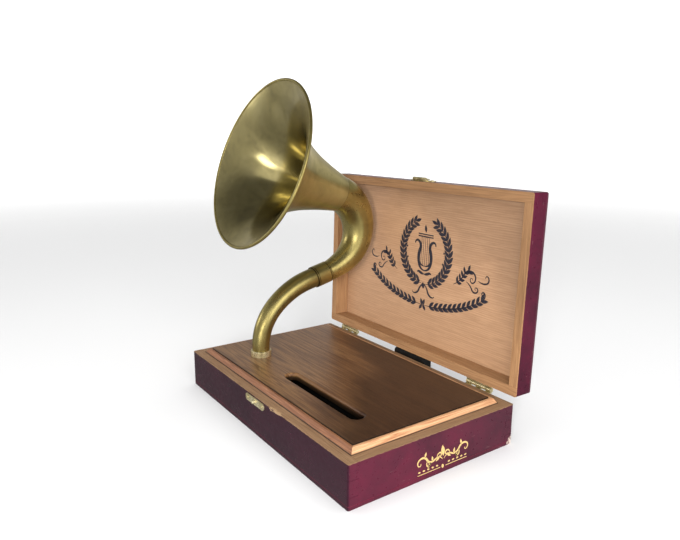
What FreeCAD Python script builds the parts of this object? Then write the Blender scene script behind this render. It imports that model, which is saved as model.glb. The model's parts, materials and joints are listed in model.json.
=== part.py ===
import FreeCAD, Part
import math
import os

# Acoustic horn speaker for a telephone, with no electrics. A hinged wooden cigar box holds a
# slotted board. The telephone stands in the slot, a duct under the board leads its sound
# sideways, and a brass goose-neck horn stands over the far end of the duct.
# Millimetres. X runs to the right along the front, Y to the rear, Z up.
# The origin is the middle of the box's underside. The lid is stored open on its stop.

# Box base
BOX_WIDTH = 240.0
BOX_DEPTH = 150.5
BASE_HEIGHT = 31.4
WALL = 8.0
BOTTOM_THICKNESS = 2.8
CORNER_RADIUS = 1.5
BASE_FINGERS = 5

# Cedar liner, which stands above the rim as a bevelled lip and locates the closed lid
LINER_GAP = 0.1
LINER_THICKNESS = 4.6
LIP_RISE = 3.5
LIP_BEVEL_RUN = 2.5
LIP_BEVEL_DROP = 0.4

# Slotted board inside the liner
BOARD_THICKNESS = 6.0
BOARD_PROUD = 0.7
BOARD_GAP = 0.25
SLOT_LENGTH = 96.0
SLOT_WIDTH = 11.0
SLOT_CENTRE_X = 33.0
SLOT_CENTRE_Y = -36.6
SLOT_ROUNDOVER = 2.0
SLOT_END_FULLNESS = 0.98

# Sound duct under the board
DUCT_WIDTH = 22.0
DUCT_WALL = 6.0
DUCT_LEFT_X = -82.0
DUCT_RIGHT_X = 88.0
PAD_THICKNESS = 2.0
GLUE_BLOCK = 12.0

# Horn
HORN_X = -66.6
HORN_Y = -34.4
FERRULE_RADIUS = 8.85
FERRULE_HEIGHT = 5.0
FERRULE_ROUND = 0.7
SOCKET_SHANK_RADIUS = 8.4
SOCKET_DEPTH = 12.0
SOCKET_LEDGE = 1.5
SOCKET_LEDGE_BORE_RADIUS = 6.4
SOCKET_CLEARANCE = 0.05
NUT_RADIUS = 12.0
NUT_HEIGHT = 3.5
NUT_FLAT_GAP = 0.2
TUBE_WALL = 1.0
TUBE_RADIUS = 7.5
TUBE_TOP_RADIUS = 8.8
SPIGOT_END_GAP = 0.3
NECK_UPRIGHT = 7.4
NECK_BENDS = ((48.0, -44.3), (73.0, -31.7))
NECK_BEND_RINGS = 6
COLLAR_RADIUS = 9.75
COLLAR_LENGTH = 15.6
COLLAR_RUN = 22.2
COLLAR_ROUND = 0.35
COLLAR_GROOVE_INSET = 1.5
COLLAR_GROOVE_RADIUS = 0.4
ELBOW_START_RADIUS = 9.15
ELBOW_END_RADIUS = 16.1
ELBOW_BENDS = ((61.5, 18.6), (35.3, 127.8))
ELBOW_BEND_RINGS = 9
BELL_WALL = 0.8
BELL_LENGTH = 84.1
BELL_RADIUS = 71.2
BELL_THROAT_RADIUS = 16.4
BELL_CONE_SLOPE = 0.195
BELL_FLARE_LENGTH = 19.4
BELL_PROFILE_STEPS = 12
BELL_PROFILE_CROWDING = 1.6
BEAD_RADIUS = 1.3

# Lid, described closed and then swung open about the hinge pins
LID_RAIL_HEIGHT = 14.6
LID_RAIL = 7.5
LID_PANEL_THICKNESS = 1.9
LID_FINGERS = 3
LID_OPEN_DEG = 91.5

# Butt hinges on the outer rear faces
HINGE_PLACES_X = {"left": -88.5, "right": 83.5}
HINGE_LENGTH = 25.2
HINGE_KNUCKLES = 5
HINGE_KNUCKLE_GAP = 0.2
HINGE_SET_BACK = 3.0
HINGE_RISE = 1.4
BARREL_RADIUS = 1.75
PIN_RADIUS = 0.9
PIN_CLEARANCE = 0.05
LEAF_THICKNESS = 1.0
LEAF_HEIGHT = 9.0
LEAF_BRAD_RISE = 5.6
LID_LEAF_GAP = 0.3
BASE_LEAF_GAP = 0.1
WEB_THICKNESS = 1.15
WEB_OVERLAP = 0.3

# Lid stop on the rear wall
STOP_LEFT_X = -16.3
STOP_RIGHT_X = 23.0
STOP_HEIGHT = 18.0
STOP_SHELF = 5.5
STOP_RELIEF = 0.3
STOP_ROUND = 2.0

# Clasp: catch plate on the front wall, swinging hasp on the lid's front rail
CLASP_X = 0.4
CLASP_PLATE_LENGTH = 28.6
CLASP_PLATE_HEIGHT = 5.6
CLASP_PLATE_THICKNESS = 0.9
CLASP_END_FULLNESS = 0.9
CLASP_BRAD_INSET = 3.4
CATCH_DROP = 1.1
CATCH_NIB_RADIUS = 1.5
CATCH_NIB_LENGTH = 3.2
CATCH_NIB_ROUND = 0.8
HASP_PLATE_RISE = 4.6
HASP_PIVOT_RISE = 3.2
HASP_BARREL_RADIUS = 1.3
HASP_PIN_RADIUS = 0.6
HASP_WIDTH = 9.0
HASP_LENGTH = 9.4
HASP_THICKNESS = 0.9
HASP_LIFT = 0.35
HASP_TIP_RADIUS = 3.0
HASP_KNUCKLE_GAP = 0.2
HASP_KNUCKLE_REACH = 3.0
HASP_EYE_CLEARANCE = 0.3

# Round-head brads
BRAD_HEAD_RADIUS = 1.3
BRAD_HEAD_HEIGHT = 0.6
BRAD_CROWN_FULLNESS = 0.8
BRAD_SHANK_RADIUS = 0.6
BRAD_SHANK_LENGTH = 5.0
STOP_BRAD_LENGTH = 13.0

# Modelling: how far cutters run past their work, and what still counts as touching
OVERSHOOT = 1.0
TOUCHING = 0.05

# Places that follow from the sizes above
X_AXIS = FreeCAD.Vector(1, 0, 0)
Y_AXIS = FreeCAD.Vector(0, 1, 0)
Z_AXIS = FreeCAD.Vector(0, 0, 1)
HALF_WIDTH = BOX_WIDTH / 2
HALF_DEPTH = BOX_DEPTH / 2
LINER_OUTER = WALL + LINER_GAP
LINER_INNER = LINER_OUTER + LINER_THICKNESS
LIP_TOP = BASE_HEIGHT + LIP_RISE
BOARD_TOP = LIP_TOP + BOARD_PROUD
BOARD_UNDERSIDE = BOARD_TOP - BOARD_THICKNESS
HINGE_AXIS = FreeCAD.Vector(0, HALF_DEPTH + HINGE_SET_BACK, BASE_HEIGHT + HINGE_RISE)
RAIL_TOP = BASE_HEIGHT + LID_RAIL_HEIGHT
SOCKET_BORE_RADIUS = TUBE_RADIUS + SOCKET_CLEARANCE
SOCKET_BOTTOM = BOARD_TOP - SOCKET_DEPTH


def block(x_span, y_span, z_span):
    """Rectangular block between two values on each axis."""
    size = [high - low for low, high in (x_span, y_span, z_span)]
    return Part.makeBox(*size, FreeCAD.Vector(x_span[0], y_span[0], z_span[0]))


def prism(points, sweep):
    """Straight prism: a closed outline of points, swept along a vector."""
    return Part.Face(Part.makePolygon(points + points[:1])).extrude(sweep)


def rounded_slab(x_span, y_span, z_span, radius):
    """Block whose upright corners are rounded."""
    slab = block(x_span, y_span, z_span)
    upright = [edge for edge in slab.Edges if abs(edge.tangentAt(edge.FirstParameter).z) > 0.5]
    return slab.makeFillet(radius, upright)


def box_envelope(z_span):
    """Space inside the box's rounded upright corners."""
    return rounded_slab((-HALF_WIDTH, HALF_WIDTH), (-HALF_DEPTH, HALF_DEPTH), z_span, CORNER_RADIUS)


# ---------------------------------------------------------------- finger-jointed frames

def frame_sides(z_span, thickness, fingers):
    """Four boards of one frame. Front and rear own the odd fingers, the sides the even ones."""
    bottom, top = z_span
    pitch = (top - bottom) / fingers
    inner_x = HALF_WIDTH - thickness
    inner_y = HALF_DEPTH - thickness
    boards = {
        "front": block((-HALF_WIDTH, HALF_WIDTH), (-HALF_DEPTH, -inner_y), z_span),
        "rear": block((-HALF_WIDTH, HALF_WIDTH), (inner_y, HALF_DEPTH), z_span),
        "left": block((-HALF_WIDTH, -inner_x), (-HALF_DEPTH, HALF_DEPTH), z_span),
        "right": block((inner_x, HALF_WIDTH), (-HALF_DEPTH, HALF_DEPTH), z_span),
    }
    for index in range(fingers):
        layer = (bottom + index * pitch, bottom + (index + 1) * pitch)
        losers = ("left", "right") if index % 2 == 0 else ("front", "rear")
        for x_sign in (-1, 1):
            for y_sign in (-1, 1):
                corner = block(
                    sorted((x_sign * inner_x, x_sign * HALF_WIDTH)),
                    sorted((y_sign * inner_y, y_sign * HALF_DEPTH)),
                    layer,
                )
                for name in losers:
                    boards[name] = boards[name].cut(corner)
    envelope = box_envelope(z_span)
    return {name: board.common(envelope).removeSplitter() for name, board in boards.items()}


def base_box():
    """Bottom panel and the four finger-jointed walls."""
    walls = frame_sides((BOTTOM_THICKNESS, BASE_HEIGHT), WALL, BASE_FINGERS)
    parts = {side + "_wall": board for side, board in walls.items()}
    parts["bottom_panel"] = box_envelope((0, BOTTOM_THICKNESS))
    return parts


# ---------------------------------------------------------------- liner and board

def liner_profile():
    """Cross-section of one liner board, as distances inward from the box's outer face."""
    return (
        (LINER_OUTER, BOTTOM_THICKNESS),
        (LINER_OUTER, BASE_HEIGHT - LIP_BEVEL_DROP),
        (LINER_OUTER + LIP_BEVEL_RUN, LIP_TOP),
        (LINER_INNER, LIP_TOP),
        (LINER_INNER, BOTTOM_THICKNESS),
    )


def liner_board(side):
    """One liner board, with its two ends mitred into its neighbours."""
    x_outer = HALF_WIDTH - LINER_OUTER
    y_outer = HALF_DEPTH - LINER_OUTER
    x_inner = HALF_WIDTH - LINER_INNER
    y_inner = HALF_DEPTH - LINER_INNER
    lengthwise = side in ("front", "rear")
    sign = -1 if side in ("front", "left") else 1
    section = []
    for inset, height in liner_profile():
        if lengthwise:
            section.append(FreeCAD.Vector(-HALF_WIDTH, sign * (HALF_DEPTH - inset), height))
        else:
            section.append(FreeCAD.Vector(sign * (HALF_WIDTH - inset), -HALF_DEPTH, height))
    sweep = X_AXIS * BOX_WIDTH if lengthwise else Y_AXIS * BOX_DEPTH
    if lengthwise:
        outline = [(-x_outer, sign * y_outer), (x_outer, sign * y_outer)]
        outline += [(x_inner, sign * y_inner), (-x_inner, sign * y_inner)]
    else:
        outline = [(sign * x_outer, -y_outer), (sign * x_outer, y_outer)]
        outline += [(sign * x_inner, y_inner), (sign * x_inner, -y_inner)]
    mitre = prism([FreeCAD.Vector(x, y, 0) for x, y in outline], Z_AXIS * LIP_TOP)
    return prism(section, sweep).common(mitre)


def slot_cutter(z_span):
    """Upright cutter for the telephone slot, with round ends."""
    radius = SLOT_WIDTH / 2
    half_length = SLOT_LENGTH / 2
    x_span = (SLOT_CENTRE_X - half_length, SLOT_CENTRE_X + half_length)
    y_span = (SLOT_CENTRE_Y - radius, SLOT_CENTRE_Y + radius)
    return rounded_slab(x_span, y_span, z_span, radius * SLOT_END_FULLNESS)


def sound_board():
    """Board with the telephone slot, its rounded-over mouth and the hole for the horn socket."""
    half_x = HALF_WIDTH - LINER_INNER - BOARD_GAP
    half_y = HALF_DEPTH - LINER_INNER - BOARD_GAP
    board = block((-half_x, half_x), (-half_y, half_y), (BOARD_UNDERSIDE, BOARD_TOP))
    board = board.cut(slot_cutter((BOARD_UNDERSIDE - OVERSHOOT, BOARD_TOP + OVERSHOOT)))
    mouth = []
    for edge in board.Edges:
        middle = edge.CenterOfMass
        on_top = abs(middle.z - BOARD_TOP) < TOUCHING
        inside = abs(middle.x) < half_x - TOUCHING and abs(middle.y) < half_y - TOUCHING
        if on_top and inside:
            mouth.append(edge)
    board = board.makeFillet(SLOT_ROUNDOVER, mouth)
    foot = FreeCAD.Vector(HORN_X, HORN_Y, BOARD_UNDERSIDE - OVERSHOOT)
    hole = Part.makeCylinder(SOCKET_SHANK_RADIUS, BOARD_THICKNESS + 2 * OVERSHOOT, foot)
    return board.cut(hole)


def liner_and_board():
    """Liner boards and the slotted board that drops in between them."""
    parts = {"liner_" + side: liner_board(side) for side in ("front", "rear", "left", "right")}
    parts["sound_board"] = sound_board()
    return parts


# ---------------------------------------------------------------- sound duct

def sound_duct():
    """Strips that close off a duct from the slot to the horn, its pad and the board's supports."""
    z_span = (BOTTOM_THICKNESS, BOARD_UNDERSIDE)
    front = SLOT_CENTRE_Y - DUCT_WIDTH / 2
    rear = SLOT_CENTRE_Y + DUCT_WIDTH / 2
    whole = (DUCT_LEFT_X - DUCT_WALL, DUCT_RIGHT_X + DUCT_WALL)
    parts = {
        "duct_front_strip": block(whole, (front - DUCT_WALL, front), z_span),
        "duct_rear_strip": block(whole, (rear, rear + DUCT_WALL), z_span),
        "duct_left_end": block((whole[0], DUCT_LEFT_X), (front, rear), z_span),
        "duct_right_end": block((DUCT_RIGHT_X, whole[1]), (front, rear), z_span),
    }
    pad_x = (SLOT_CENTRE_X - SLOT_LENGTH / 2, SLOT_CENTRE_X + SLOT_LENGTH / 2)
    pad_z = (BOTTOM_THICKNESS, BOTTOM_THICKNESS + PAD_THICKNESS)
    parts["phone_pad"] = block(pad_x, (front, rear), pad_z)
    parts["board_glue_blocks"] = Part.makeCompound(glue_blocks(z_span))
    return parts


def glue_blocks(z_span):
    """Square blocks in the four corners that carry the board."""
    far_x = HALF_WIDTH - LINER_INNER
    far_y = HALF_DEPTH - LINER_INNER
    blocks = []
    for x_sign in (-1, 1):
        for y_sign in (-1, 1):
            x_span = sorted((x_sign * far_x, x_sign * (far_x - GLUE_BLOCK)))
            y_span = sorted((y_sign * far_y, y_sign * (far_y - GLUE_BLOCK)))
            # The front blocks fill only the space between the liner and the duct.
            if y_sign < 0:
                y_span = (-far_y, SLOT_CENTRE_Y - DUCT_WIDTH / 2 - DUCT_WALL)
            blocks.append(block(x_span, y_span, z_span))
    return blocks


# ---------------------------------------------------------------- horn

def horn_point(y, z):
    """Point in the upright plane that the horn's centre line lies in."""
    return FreeCAD.Vector(HORN_X, y, z)


def heading_vector(heading):
    """Unit vector in that plane: 0 degrees points to the rear, 90 degrees up."""
    angle = math.radians(heading)
    return FreeCAD.Vector(0, math.cos(angle), math.sin(angle))


def along(point, heading, length):
    """Station further along a straight run."""
    return point + heading_vector(heading) * length, heading


def around(point, heading, radius, turn):
    """Station further round an arc; a positive turn bends from the rear towards up."""
    side = 90 if turn > 0 else -90
    centre = point + heading_vector(heading + side) * radius
    return centre - heading_vector(heading + turn + side) * radius, heading + turn


def ring(station, radius):
    """Circle square to the centre line at a station."""
    point, heading = station
    return Part.Wire(Part.makeCircle(radius, point, heading_vector(heading)))


def swept(stations, radii):
    """Smooth round solid through circles at the stations."""
    rings = [ring(station, radius) for station, radius in zip(stations, radii)]
    return Part.makeLoft(rings, True)


def bend_stations(station, bends, steps):
    """Stations around a chain of bends, with the starting one, and each one's share of the length."""
    stations = [station]
    travelled = [0.0]
    for radius, turn in bends:
        start = stations[-1]
        for step in range(1, steps + 1):
            stations.append(around(*start, radius, turn * step / steps))
            travelled.append(travelled[-1] + radius * math.radians(abs(turn)) / steps)
    return stations, [length / travelled[-1] for length in travelled]


def neck_start():
    """Where the neck leaves the board's top, pointing up."""
    return horn_point(HORN_Y, BOARD_TOP), 90.0


def collar_start():
    """Station at the low end of the collar, after the neck's bends."""
    station = along(*neck_start(), NECK_UPRIGHT)
    for radius, turn in NECK_BENDS:
        station = around(*station, radius, turn)
    return along(*station, COLLAR_RUN - COLLAR_LENGTH)


def bell_seam():
    """Station where the elbow meets the bell."""
    station = along(*collar_start(), COLLAR_LENGTH)
    for radius, turn in ELBOW_BENDS:
        station = around(*station, radius, turn)
    return station


def neck_tube():
    """Tapered goose-neck tube, from its spigot in the socket to the middle of the collar."""
    foot = along(*neck_start(), NECK_UPRIGHT)
    stations, shares = bend_stations(foot, NECK_BENDS, NECK_BEND_RINGS)
    radii = [TUBE_RADIUS + (TUBE_TOP_RADIUS - TUBE_RADIUS) * share for share in shares]
    spigot_base = horn_point(HORN_Y, SOCKET_BOTTOM + SOCKET_LEDGE + SPIGOT_END_GAP)
    spigot_length = foot[0].z - spigot_base.z
    end_length = COLLAR_RUN - COLLAR_LENGTH / 2
    end_point, end_heading = stations[-1]
    end_direction = heading_vector(end_heading)

    def solid(shrink):
        foot_part = Part.makeCylinder(TUBE_RADIUS - shrink, spigot_length, spigot_base)
        end_part = Part.makeCylinder(radii[-1] - shrink, end_length, end_point, end_direction)
        return foot_part.fuse([swept(stations, [radius - shrink for radius in radii]), end_part])

    return solid(0).cut(solid(TUBE_WALL))


def neck_collar():
    """Sleeve that joins the neck tube to the elbow, with a turned groove near each end."""
    point, heading = collar_start()
    direction = heading_vector(heading)
    sleeve = Part.makeCylinder(COLLAR_RADIUS, COLLAR_LENGTH, point, direction)
    sleeve = sleeve.makeFillet(COLLAR_ROUND, [edge for edge in sleeve.Edges if edge.Closed])
    bore_length = COLLAR_LENGTH + 2 * OVERSHOOT
    bore = Part.makeCylinder(TUBE_TOP_RADIUS, bore_length, point - direction * OVERSHOOT, direction)
    sleeve = sleeve.cut(bore)
    for run in (COLLAR_GROOVE_INSET, COLLAR_LENGTH - COLLAR_GROOVE_INSET):
        middle = point + direction * run
        sleeve = sleeve.cut(Part.makeTorus(COLLAR_RADIUS, COLLAR_GROOVE_RADIUS, middle, direction))
    return sleeve


def horn_elbow():
    """Widening elbow, from its spigot in the collar to the seam with the bell."""
    start = along(*collar_start(), COLLAR_LENGTH)
    stations, shares = bend_stations(start, ELBOW_BENDS, ELBOW_BEND_RINGS)
    growth = ELBOW_END_RADIUS - ELBOW_START_RADIUS
    radii = [ELBOW_START_RADIUS + growth * math.sin(share * math.pi / 2) for share in shares]
    direction = heading_vector(start[1])
    spigot_base = start[0] - direction * (COLLAR_LENGTH / 2)
    spigot = Part.makeCylinder(TUBE_TOP_RADIUS, COLLAR_LENGTH / 2, spigot_base, direction)
    bore = Part.makeCylinder(TUBE_TOP_RADIUS - TUBE_WALL, COLLAR_LENGTH / 2, spigot_base, direction)
    hollow = swept(stations, [radius - TUBE_WALL for radius in radii])
    return swept(stations, radii).fuse(spigot).cut(hollow.fuse(bore))


def bell_flare():
    """Size of the bell's exponential flare, and how much of it is left at the seam."""
    size = BELL_RADIUS - BELL_THROAT_RADIUS - BELL_CONE_SLOPE * BELL_LENGTH
    left = math.exp(-BELL_LENGTH / BELL_FLARE_LENGTH)
    return size / (1 - left), left


def bell_radius(depth):
    """Outer radius of the bell at a depth behind its rim: a cone plus an exponential flare."""
    size, left = bell_flare()
    cone = BELL_CONE_SLOPE * (BELL_LENGTH - depth)
    return BELL_THROAT_RADIUS + cone + size * (math.exp(-depth / BELL_FLARE_LENGTH) - left)


def bell_slope(depth):
    """How fast that radius changes with depth."""
    size, _ = bell_flare()
    return -BELL_CONE_SLOPE - size / BELL_FLARE_LENGTH * math.exp(-depth / BELL_FLARE_LENGTH)


def bell_curve(inward):
    """Profile of the bell's sheet, moved square to itself towards the inside by a distance."""
    points = []
    for step in range(BELL_PROFILE_STEPS + 1):
        # The points crowd towards the rim, where the profile curves most.
        depth = BELL_LENGTH * (step / BELL_PROFILE_STEPS) ** BELL_PROFILE_CROWDING
        radius = bell_radius(depth)
        slope = bell_slope(depth)
        stretch = math.hypot(1, slope)
        inner_depth = depth + inward * slope / stretch
        if step == BELL_PROFILE_STEPS:
            inner_depth = depth
        points.append(FreeCAD.Vector(radius - inward / stretch, 0, BELL_LENGTH - inner_depth))
    curve = Part.BSplineCurve()
    curve.interpolate(points)
    return curve.toShape()


def place_on_seam(shape):
    """Turn a shape modelled about +Z so that it stands on the seam and looks out of the bell."""
    point, heading = bell_seam()
    turned = shape.rotated(FreeCAD.Vector(0, 0, 0), X_AXIS, heading - 90)
    return turned.translated(point)


def horn_bell():
    """Flared sheet-metal bell."""
    outside = bell_curve(0)
    inside = bell_curve(BELL_WALL)
    rim_gap = Part.makeLine(outside.Vertexes[0].Point, inside.Vertexes[0].Point)
    seam_gap = Part.makeLine(outside.Vertexes[1].Point, inside.Vertexes[1].Point)
    section = Part.Face(Part.Wire([outside, seam_gap, inside, rim_gap]))
    return place_on_seam(section.revolve(FreeCAD.Vector(0, 0, 0), Z_AXIS, 360))


def bell_rim_bead(bell):
    """Wired bead round the bell's rim, slit to take the edge of the sheet."""
    torus = Part.makeTorus(BELL_RADIUS, BEAD_RADIUS, FreeCAD.Vector(0, 0, BELL_LENGTH), Z_AXIS)
    return place_on_seam(torus).cut(bell)


def neck_socket():
    """Turned socket in the board: a ferrule above, a shank through the board, a ledge inside."""
    foot = horn_point(HORN_Y, SOCKET_BOTTOM)
    shank = Part.makeCylinder(SOCKET_SHANK_RADIUS, SOCKET_DEPTH, foot)
    ferrule_base = horn_point(HORN_Y, BOARD_TOP)
    ferrule = Part.makeCylinder(FERRULE_RADIUS, FERRULE_HEIGHT, ferrule_base)
    ferrule_top = BOARD_TOP + FERRULE_HEIGHT
    top_edges = [edge for edge in ferrule.Edges if edge.CenterOfMass.z > ferrule_top - TOUCHING]
    ferrule = ferrule.makeFillet(FERRULE_ROUND, top_edges)
    bore_base = horn_point(HORN_Y, SOCKET_BOTTOM + SOCKET_LEDGE)
    bore = Part.makeCylinder(SOCKET_BORE_RADIUS, SOCKET_DEPTH + FERRULE_HEIGHT, bore_base)
    sound_hole = Part.makeCylinder(SOCKET_LEDGE_BORE_RADIUS, SOCKET_DEPTH, foot)
    return shank.fuse(ferrule).cut(bore).cut(sound_hole)


def socket_nut():
    """Ring nut that pulls the ferrule down onto the board from below."""
    foot = horn_point(HORN_Y, BOARD_UNDERSIDE - NUT_HEIGHT)
    nut = Part.makeCylinder(NUT_RADIUS, NUT_HEIGHT, foot)
    reach = DUCT_WIDTH / 2 - NUT_FLAT_GAP
    # Two flats let the nut sit between the duct's strips.
    nut = nut.common(block(
        (HORN_X - NUT_RADIUS, HORN_X + NUT_RADIUS),
        (SLOT_CENTRE_Y - reach, SLOT_CENTRE_Y + reach),
        (foot.z, foot.z + NUT_HEIGHT),
    ))
    return nut.cut(Part.makeCylinder(SOCKET_SHANK_RADIUS, NUT_HEIGHT, foot))


def horn():
    """Everything from the board's socket up to the bell."""
    bell = horn_bell()
    return {
        "neck_socket": neck_socket(),
        "socket_nut": socket_nut(),
        "neck_tube": neck_tube(),
        "neck_collar": neck_collar(),
        "horn_elbow": horn_elbow(),
        "horn_bell": bell,
        "bell_rim_bead": bell_rim_bead(bell),
    }


# ---------------------------------------------------------------- small brass fittings

def brad(head_seat, outward, length):
    """Round-head brad whose head rests on a face, driven in against the outward direction."""
    head = Part.makeCylinder(BRAD_HEAD_RADIUS, BRAD_HEAD_HEIGHT, head_seat, outward)
    crown = [edge for edge in head.Edges if edge.Closed]
    crown = [max(crown, key=lambda edge: edge.CenterOfMass.dot(outward))]
    head = head.makeFillet(BRAD_HEAD_HEIGHT * BRAD_CROWN_FULLNESS, crown)
    shank = Part.makeCylinder(BRAD_SHANK_RADIUS, length, head_seat, outward * -1)
    return head.fuse(shank)


def brads(seats, outward, length=BRAD_SHANK_LENGTH):
    """Group of brads on one face."""
    return Part.makeCompound([brad(seat, outward, length) for seat in seats])


def drilled(shape, fasteners):
    """Shape with the fasteners' holes through it."""
    return shape.cut(fasteners)


def swing_open(shape):
    """Turn a lid piece from the closed position to the open one."""
    return shape.rotated(HINGE_AXIS, X_AXIS, -LID_OPEN_DEG)


def knuckle_spans(length, count, gap):
    """Spans of a hinge's knuckles along its pin, centred on zero."""
    pitch = length / count
    spans = []
    for index in range(count):
        low = -length / 2 + index * pitch
        trim_low = gap / 2 if index > 0 else 0
        trim_high = gap / 2 if index < count - 1 else 0
        spans.append((low + trim_low, low + pitch - trim_high))
    return spans


def hinge_leaf(centre_x, on_lid):
    """One leaf of a butt hinge, described with the lid closed."""
    face_y = HALF_DEPTH
    x_span = (centre_x - HINGE_LENGTH / 2, centre_x + HINGE_LENGTH / 2)
    sign = 1 if on_lid else -1
    edge_z = BASE_HEIGHT + LID_LEAF_GAP if on_lid else BASE_HEIGHT - BASE_LEAF_GAP
    z_span = sorted((edge_z, edge_z + sign * LEAF_HEIGHT))
    leaf = block(x_span, (face_y, face_y + LEAF_THICKNESS), z_span)
    web_near = HINGE_AXIS.z + sign * (BARREL_RADIUS - WEB_OVERLAP)
    web_z = sorted((web_near, web_near + sign * WEB_THICKNESS))
    knuckles = knuckle_spans(HINGE_LENGTH, HINGE_KNUCKLES, HINGE_KNUCKLE_GAP)
    for low, high in knuckles[1 if on_lid else 0::2]:
        start = FreeCAD.Vector(centre_x + low, HINGE_AXIS.y, HINGE_AXIS.z)
        knuckle = Part.makeCylinder(BARREL_RADIUS, high - low, start, X_AXIS)
        web = block((centre_x + low, centre_x + high), (face_y, HINGE_AXIS.y), web_z)
        leaf = leaf.fuse([knuckle, web])
    start = FreeCAD.Vector(x_span[0] - OVERSHOOT, HINGE_AXIS.y, HINGE_AXIS.z)
    # The pin is tight in the base leaf and turns freely in the lid leaf.
    bore_radius = PIN_RADIUS + PIN_CLEARANCE if on_lid else PIN_RADIUS
    bore = Part.makeCylinder(bore_radius, HINGE_LENGTH + 2 * OVERSHOOT, start, X_AXIS)
    return leaf.cut(bore).removeSplitter()


def hinge_pin(centre_x):
    """Plain pin through one hinge's knuckles."""
    start = FreeCAD.Vector(centre_x - HINGE_LENGTH / 2, HINGE_AXIS.y, HINGE_AXIS.z)
    return Part.makeCylinder(PIN_RADIUS, HINGE_LENGTH, start, X_AXIS)


def leaf_seats(on_lid):
    """Where the hinge brads' heads rest, two to a leaf."""
    rise = LEAF_BRAD_RISE if on_lid else -LEAF_BRAD_RISE
    seats = []
    for centre_x in HINGE_PLACES_X.values():
        for offset in (-HINGE_LENGTH / 4, HINGE_LENGTH / 4):
            seats.append(FreeCAD.Vector(centre_x + offset, HALF_DEPTH + LEAF_THICKNESS,
                                        BASE_HEIGHT + rise))
    return seats


def lid_stop():
    """Block on the rear wall that the open lid leans on, relieved round the hinge line."""
    top = HINGE_AXIS.z + HINGE_SET_BACK - STOP_RELIEF
    relief = HINGE_SET_BACK - STOP_RELIEF
    rim = BASE_HEIGHT - STOP_RELIEF
    shelf_y = HINGE_AXIS.y + STOP_SHELF
    x_span = (STOP_LEFT_X, STOP_RIGHT_X)
    tall = block(x_span, (HINGE_AXIS.y, shelf_y), (BASE_HEIGHT - STOP_HEIGHT, top))
    low = block(x_span, (HALF_DEPTH, HINGE_AXIS.y), (BASE_HEIGHT - STOP_HEIGHT, rim))
    upstand = block(x_span, (HINGE_AXIS.y - relief, HINGE_AXIS.y), (rim, HINGE_AXIS.z))
    start = FreeCAD.Vector(STOP_LEFT_X, HINGE_AXIS.y, HINGE_AXIS.z)
    nose = Part.makeCylinder(relief, STOP_RIGHT_X - STOP_LEFT_X, start, X_AXIS)
    nose = nose.common(block(x_span, (HINGE_AXIS.y - relief, HINGE_AXIS.y), (HINGE_AXIS.z, top)))
    stop = tall.fuse([low, upstand, nose]).removeSplitter()
    foot = BASE_HEIGHT - STOP_HEIGHT
    under_rear = [edge for edge in stop.Edges if edge.CenterOfMass.z < foot + TOUCHING
                  and edge.CenterOfMass.y > shelf_y - TOUCHING]
    return stop.makeFillet(STOP_ROUND, under_rear)


def stop_seats():
    """Where the two brads in the lid stop rest their heads."""
    height = BASE_HEIGHT - STOP_HEIGHT / 2
    quarter = (STOP_RIGHT_X - STOP_LEFT_X) / 4
    rear = HINGE_AXIS.y + STOP_SHELF
    return [FreeCAD.Vector(x, rear, height) for x in (STOP_LEFT_X + quarter, STOP_RIGHT_X - quarter)]


def clasp_plate(low_z):
    """Long plate with rounded ends, on the front face of the box."""
    half = CLASP_PLATE_LENGTH / 2
    x_span = (CLASP_X - half, CLASP_X + half)
    y_span = (-HALF_DEPTH - CLASP_PLATE_THICKNESS, -HALF_DEPTH)
    plate = block(x_span, y_span, (low_z, low_z + CLASP_PLATE_HEIGHT))
    ends = [edge for edge in plate.Edges if abs(edge.tangentAt(edge.FirstParameter).y) > 0.5]
    return plate.makeFillet(CLASP_PLATE_HEIGHT / 2 * CLASP_END_FULLNESS, ends)


def clasp_seats(low_z):
    """Where the two brads in a clasp plate rest their heads."""
    reach = CLASP_PLATE_LENGTH / 2 - CLASP_BRAD_INSET
    height = low_z + CLASP_PLATE_HEIGHT / 2
    face = -HALF_DEPTH - CLASP_PLATE_THICKNESS
    return [FreeCAD.Vector(CLASP_X + x, face, height) for x in (-reach, reach)]


def catch_plate():
    """Plate on the front wall, with the nib that the hasp snaps over."""
    low_z = BASE_HEIGHT - CATCH_DROP - CLASP_PLATE_HEIGHT
    face = FreeCAD.Vector(CLASP_X, -HALF_DEPTH, low_z + CLASP_PLATE_HEIGHT / 2)
    nib = Part.makeCylinder(CATCH_NIB_RADIUS, CATCH_NIB_LENGTH, face, Y_AXIS * -1)
    tip = [min((edge for edge in nib.Edges if edge.Closed), key=lambda edge: edge.CenterOfMass.y)]
    return clasp_plate(low_z).fuse(nib.makeFillet(CATCH_NIB_ROUND, tip)).removeSplitter()


def hasp_axis():
    """Point on the hasp's pin, with the lid closed."""
    stand_off = CLASP_PLATE_THICKNESS + HASP_BARREL_RADIUS
    return FreeCAD.Vector(CLASP_X, -HALF_DEPTH - stand_off, BASE_HEIGHT + HASP_PIVOT_RISE)


def hasp_barrel(x_low, x_high, radius):
    """Round bar along the hasp's pin between two offsets from the clasp's middle."""
    start = hasp_axis() + X_AXIS * x_low
    return Part.makeCylinder(radius, x_high - x_low, start, X_AXIS)


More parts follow.
